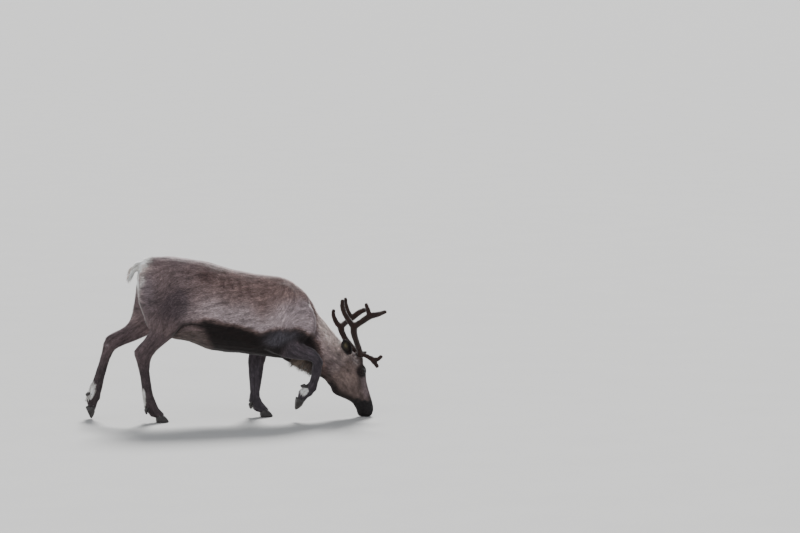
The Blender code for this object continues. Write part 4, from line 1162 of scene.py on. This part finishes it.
def make_coat(skin, ring, spots):
    """The short coat over the whole skin, in pieces named for the part that they cover."""
    mesh = skin.data
    near, down, _ = nearness(places_of(mesh))
    length = hair_length(places_of(mesh), near, down)
    per_area = COVER / (length * tuft_width(length) * 0.62)
    per_area *= smooth_step(1.10, 1.25, ring)
    own = moved(head_matrix().inverted(), places_of(mesh))
    inner = np.minimum(near_path(own, NOSTRIL), near_path(own * (1, -1, 1), NOSTRIL))
    per_area *= smooth_step(0.0035, 0.0060, inner)
    per_area *= places_of(mesh)[:, 2] > 0.004
    roots, normals, nearest = sown(mesh, per_area)
    near, down, _ = nearness(roots)
    way = combed(mesh)[nearest]
    side = np.abs(normals[:, 1])
    way = way + np.array((0, 0, -0.35)) * (side * (near["trunk"] + 0.5 * near["neck"]))[:, None]
    colours = markings(roots, normals, near, down)
    pale = 0.05 + 0.10 * near["neck"] + 0.06 * near["trunk"]
    shades = shaded(colours, roots, way, 0.12, pale)
    sizes = coat_sizes(hair_length(roots, near, down))
    finish = hair_material("coat_hair", 260, 0.74, 0.30)
    kinds = np.array(("trunk", "neck", "head", "hind", "fore", "tail", "ear"))
    share = np.stack([near[kind] for kind in kinds])
    best = share.argmax(axis=0)
    made = []
    for k, kind in enumerate(kinds):
        use = best == k
        some = tuple(v[use] for v in sizes)
        base = (roots[use], normals[use], way[use])
        made += tufts(f"coat_{kind}", *base, some, shades[use], spots[nearest[use]])
    for piece in made:
        piece.data.materials.append(finish)
    fitted(made)


def lock_group(name, skin, spots, weight, per_area, sizes, lift, way, shade, droop):
    """Long tufts where weight, from 0 to 1, says; the way and shade are worked out from the roots."""
    roots, normals, nearest = sown(skin.data, weight * per_area)
    count = len(roots)
    long = RNG.uniform(*sizes, count)
    wide = long * RNG.uniform(0.07, 0.11, count)
    lifts = np.radians(RNG.uniform(*lift, count))
    along = way(roots, normals)
    shades = shaded(shade(roots, normals), roots, along, 0.10)
    sizes = (long, wide, lifts)
    made = tufts(name, roots, normals, along, sizes, shades, spots[nearest], LONG_TUFT, droop)
    for piece in made:
        piece.data.materials.append(bpy.data.materials["coat_hair"])
    fitted(made)


def make_locks(skin, spots):
    """The longer hair: tail, rump, brisket, the backs of the feet, and in the ears."""
    co = places_of(skin.data)
    normals = normals_of(skin.data)
    x, y, z = co.T
    near = nearness(co)[0]

    def lie(roots, _):
        return nearness(roots)[2]

    def marked(roots, ways):
        return markings(roots, ways, *nearness(roots)[:2])

    def grow(name, weight, per_area, sizes, lift, droop, way=lie, shade=marked):
        lock_group(f"locks_{name}", skin, spots, weight, per_area, sizes, lift, way, shade, droop)

    tail = smooth_step(0.35, 0.7, near["tail"])
    grow("tail", tail, 26_000, (0.030, 0.048), (6, 20), 0.20)
    rump = smooth_step(-0.490, -0.525, x) * smooth_step(0.93, 0.97, z) * smooth_step(0.10, 0.07, np.abs(y))
    rump *= 1 - tail
    grow("rump", rump, 26_000, (0.028, 0.042), (24, 48), 0.02)

    def hanging(roots, _):
        return np.stack([np.full(len(roots), -0.8), 1.5 * roots[:, 1], np.full(len(roots), -0.6)], axis=1)

    def brisket_shade(roots, _):
        share = smooth_step(0.50, 0.44, roots[:, 0]) * (0.35 + 0.65 * RNG.random(len(roots)))
        return mixed(colour(THROAT) * 0.5, colour(BRISKET), share)

    brisket = smooth_step(0.345, 0.385, x) * smooth_step(0.505, 0.470, x)
    brisket *= smooth_step(0.085, 0.055, np.abs(y))
    brisket *= smooth_step(-0.05, -0.45, normals[:, 2]) * (z < 0.46) * (near["fore"] < 0.4)
    grow("brisket", brisket, 40_000, (0.034, 0.056), (28, 55), 0.35, hanging, brisket_shade)

    for leg, (at, reach) in WHITE_FEET.items():
        apart = np.linalg.norm((co - np.array(at)) / np.array(reach), axis=1)
        weight = near[leg] * smooth_step(1.10, 0.80, apart)
        size = {"hind_left": (0.026, 0.042), "hind_right": (0.016, 0.026)}.get(leg, (0.012, 0.018))
        grow(leg, weight, 60_000, size, (14, 32), 0.10)

    turn = head_matrix()
    for name, flip in (("ear_left", 1), ("ear_right", -1)):
        mouth = np.array((turn.to_3x3() @ flipped(EAR_MOUTH, flip)).normalized())
        far = np.linalg.norm(co - np.array(turn @ flipped(EAR_ROOT, flip)), axis=1)
        weight = near[name] * smooth_step(0.2, 0.6, normals @ mouth) * smooth_step(0.012, 0.022, far)
        grow(name, weight, 90_000, (0.012, 0.020), (16, 40), 0.0)


def make_eye(name):
    """A dark glossy eyeball with a bulging cornea and a wide level pupil."""
    flip = 1 if "left" in name else -1
    spin = head_matrix().to_3x3()
    axis = np.array(spin @ flipped(EYE_OUT, flip).normalized())
    level = unit(np.cross((spin @ EYE_UP), axis))
    high = np.cross(axis, level)
    b = bmesh.new()
    bmesh.ops.create_uvsphere(b, u_segments=72, v_segments=48, radius=EYE_RADIUS)
    mesh = bpy.data.meshes.new("eyeball_" + name[4:])
    b.to_mesh(mesh)
    b.free()
    way = unit(places_of(mesh))
    front = np.arccos(np.clip(way @ axis, -1, 1))
    reach = EYE_RADIUS * (1 + 0.06 * bump(front, 0.55))
    set_places(mesh, np.array(box_centre(name)) + way * reach[:, None])
    a = way @ level
    c = way @ high
    iris = smooth_step(0.80, 0.72, front)
    pupil = smooth_step(1.06, 0.94, np.hypot(a / 0.46, c / 0.20)) * (way @ axis > 0)
    round_eye = np.arctan2(c, a)
    streak = 0.75 + 0.25 * np.sin(round_eye * 46 + 2 * np.sin(round_eye * 9))
    shade = mixed(colour((16, 12, 12)), colour((40, 28, 22)) * streak[:, None], iris)
    shade = mixed(shade, colour((6, 8, 14)), pupil)
    keep_colour(mesh, shade)
    smooth_shaded(mesh)
    made = add(mesh.name, mesh)
    finish, nodes, links, shader = material(
        "eye_gloss", Roughness=0.25, Coat_Weight=0.30, Coat_Roughness=0.02
    )
    shader.inputs["Specular IOR Level"].default_value = 0.10
    kept = kept_colour(nodes)
    grain = ranged(nodes, links, noise(nodes, links, 900), 0.8, 1.2)
    links.new(tinted(nodes, links, kept, grain), shader.inputs["Base Color"])
    mesh.materials.append(finish)
    fitted([made], nodes=[name])


def make_antler(side):
    """One antler in velvet: the solids' branches as one soft surface, and its short plush."""
    nodes = [name for name in FRAME["nodes"] if name.startswith(f"antler_{side}")]
    made = remeshed(f"velvet_{side}", copies(nodes), ANTLER_VOXEL)
    mesh = made.data
    without_scraps(mesh)
    relaxed(mesh, 14, 1.0)
    co = places_of(mesh)
    ups = 0.0009 * mottle(co, 0.012, 51) + 0.0006 * mottle(co, 0.005, 52) - 0.0010
    set_places(mesh, co + normals_of(mesh) * ups[:, None])
    co = places_of(mesh)
    shade = mixed(colour(VELVET) * 0.75, colour(VELVET) * 1.25, smooth_step(-1, 1, mottle(co, 0.03, 53)))
    keep_colour(mesh, shade)
    smooth_shaded(mesh)
    mesh.materials.append(hair_material("velvet_skin", 500, 0.85, 0.5, bumps=0.5))
    fitted([made], nodes=nodes)
    spots = unwrap(mesh)
    roots, normals, nearest = sown(mesh, np.full(len(co), 120_000.0))
    count = len(roots)
    along = unit(np.cross(normals, RNG.normal(size=(count, 3)))) + np.array((0, 0, 0.6))
    long = RNG.uniform(0.0022, 0.0042, count)
    sizes = (long, RNG.uniform(0.0009, 0.0014, count), np.radians(RNG.uniform(28, 55, count)))
    # The plush a little paler than the velvet: its hair's paler tips, and painted rim light.
    shades = mixed(colour(VELVET), colour(VELVET_TIP_AND_RIM_LIGHT), 0.12 + 0.10 * RNG.random(count))
    plush = tufts(f"plush_{side}", roots, normals, along, sizes, shades, spots[nearest])
    finish = hair_material("velvet_plush", 500, 0.80, 0.6)
    for piece in plush:
        piece.data.materials.append(finish)
    fitted(plush)


def make_hooves(leg):
    """The claws and dewclaws of one foot, in dark horn with growth rings."""
    claws = [name for name in FRAME["nodes"] if name.startswith(leg) and "claw" in name]
    made = remeshed(f"hooves_{leg}", copies(claws, 0), HOOF_VOXEL)
    mesh = made.data
    relaxed(mesh, 12, 1.0)
    relaxed(mesh, 7, 1.0, 0)
    co = places_of(mesh)
    co[:, 2] = np.maximum(co[:, 2], HOOF_GAP)
    set_places(mesh, co)
    smooth_shaded(mesh)
    finish, nodes, links, shader = material("horn", Coat_Weight=0.15, Coat_Roughness=0.35)
    shader.inputs["Specular IOR Level"].default_value = 0.45
    ramp = nodes.new("ShaderNodeValToRGB")
    ramp.color_ramp.elements[0].position = 0.30
    ramp.color_ramp.elements[0].color = (*(colour(HORN) * 0.7), 1)
    ramp.color_ramp.elements[1].position = 0.75
    ramp.color_ramp.elements[1].color = (*(colour(HORN) * 2.6), 1)
    links.new(noise(nodes, links, 90, detail=8, stretch=(1, 1, 3)), ramp.inputs["Fac"])
    links.new(ramp.outputs["Color"], shader.inputs["Base Color"])
    links.new(ranged(nodes, links, noise(nodes, links, 160), 0.38, 0.66), shader.inputs["Roughness"])
    bumped(nodes, links, shader, noise(nodes, links, 60, detail=6, stretch=(0.4, 0.4, 7)), 0.6, 0.0012)
    mesh.materials.append(finish)
    fitted([made], nodes=claws)


def direction(azimuth, elevation):
    """The way from the animal to whatever stands at these angles, in degrees."""
    a = math.radians(azimuth)
    e = math.radians(elevation)
    return Vector((math.sin(a) * math.cos(e), -math.cos(a) * math.cos(e), math.sin(e)))


def make_camera():
    """A long lens at the photo's angle; the photo's middle is found from the origin's own pixel."""
    a = math.radians(AZIMUTH)
    right = Vector((math.cos(a), math.sin(a), 0))
    back = direction(AZIMUTH, ELEVATION)
    up = back.cross(right)
    aside = (PHOTO_SIZE[0] / 2 - ORIGIN_PIXEL[0]) * PIXEL
    above = (ORIGIN_PIXEL[1] - PHOTO_SIZE[1] / 2) * PIXEL
    lens = bpy.data.cameras.new("camera")
    lens.lens = LENS
    lens.sensor_width = SENSOR
    lens.clip_end = 500
    camera = add("camera", lens)
    apart = PHOTO_SIZE[0] * PIXEL * LENS / SENSOR
    camera.location = right * aside + up * above + back * apart
    camera.rotation_mode = "QUATERNION"
    camera.rotation_quaternion = back.to_track_quat("Z", "Y")
    bpy.context.scene.camera = camera


def make_floor():
    """A plain pale floor."""
    b = bmesh.new()
    bmesh.ops.create_circle(b, cap_ends=True, segments=64, radius=FLOOR_REACH)
    mesh = bpy.data.meshes.new("floor")
    b.to_mesh(mesh)
    b.free()
    floor = add("floor", mesh)
    finish, nodes, links, shader = material("floor", Roughness=0.9)
    shader.inputs["Specular IOR Level"].default_value = 0.1
    shade = nodes.new("ShaderNodeValToRGB")
    shade.color_ramp.elements[0].color = (0.36, 0.355, 0.345, 1)
    shade.color_ramp.elements[1].color = (0.39, 0.385, 0.375, 1)
    links.new(noise(nodes, links, 2.0), shade.inputs["Fac"])
    links.new(shade.outputs["Color"], shader.inputs["Base Color"])
    mesh.materials.append(finish)


def make_lights():
    """A soft light high behind the animal, a weaker one from the camera's side, and pale air."""
    for name, azimuth, elevation, power, spread in (
        ("behind", 168, 40, 9.0, 18),
        ("front", -35, 40, 1.0, 50),
    ):
        sun = bpy.data.lights.new(name, "SUN")
        sun.energy = power
        sun.angle = math.radians(spread)
        lamp = add(name, sun)
        lamp.rotation_mode = "QUATERNION"
        lamp.rotation_quaternion = direction(azimuth, elevation).to_track_quat("Z", "Y")
    world = bpy.data.worlds.new("air")
    world.use_nodes = True
    air = world.node_tree.nodes["Background"]
    air.inputs["Color"].default_value = (0.80, 0.84, 0.90, 1)
    air.inputs["Strength"].default_value = 0.75
    bpy.context.scene.world = world


clear()
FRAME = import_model()
RNG = np.random.default_rng(SEED)
COVER = FULL_COVER

SKIN, LID_RING = make_skin()
near, down, _ = nearness(places_of(SKIN.data))
keep_colour(SKIN.data, markings(places_of(SKIN.data), normals_of(SKIN.data), near, down) * 0.7)
SKIN.data.materials.append(hair_material("coat_skin", 400, 0.85, 0.2, bumps=0.6))
SPOTS = unwrap(SKIN.data)
make_coat(SKIN, LID_RING, SPOTS)
make_locks(SKIN, SPOTS)
for eye in ("eye_right", "eye_left"):
    make_eye(eye)
for side in ("right", "left"):
    make_antler(side)
for leg in LEGS:
    make_hooves(leg)
make_floor()
make_lights()
make_camera()
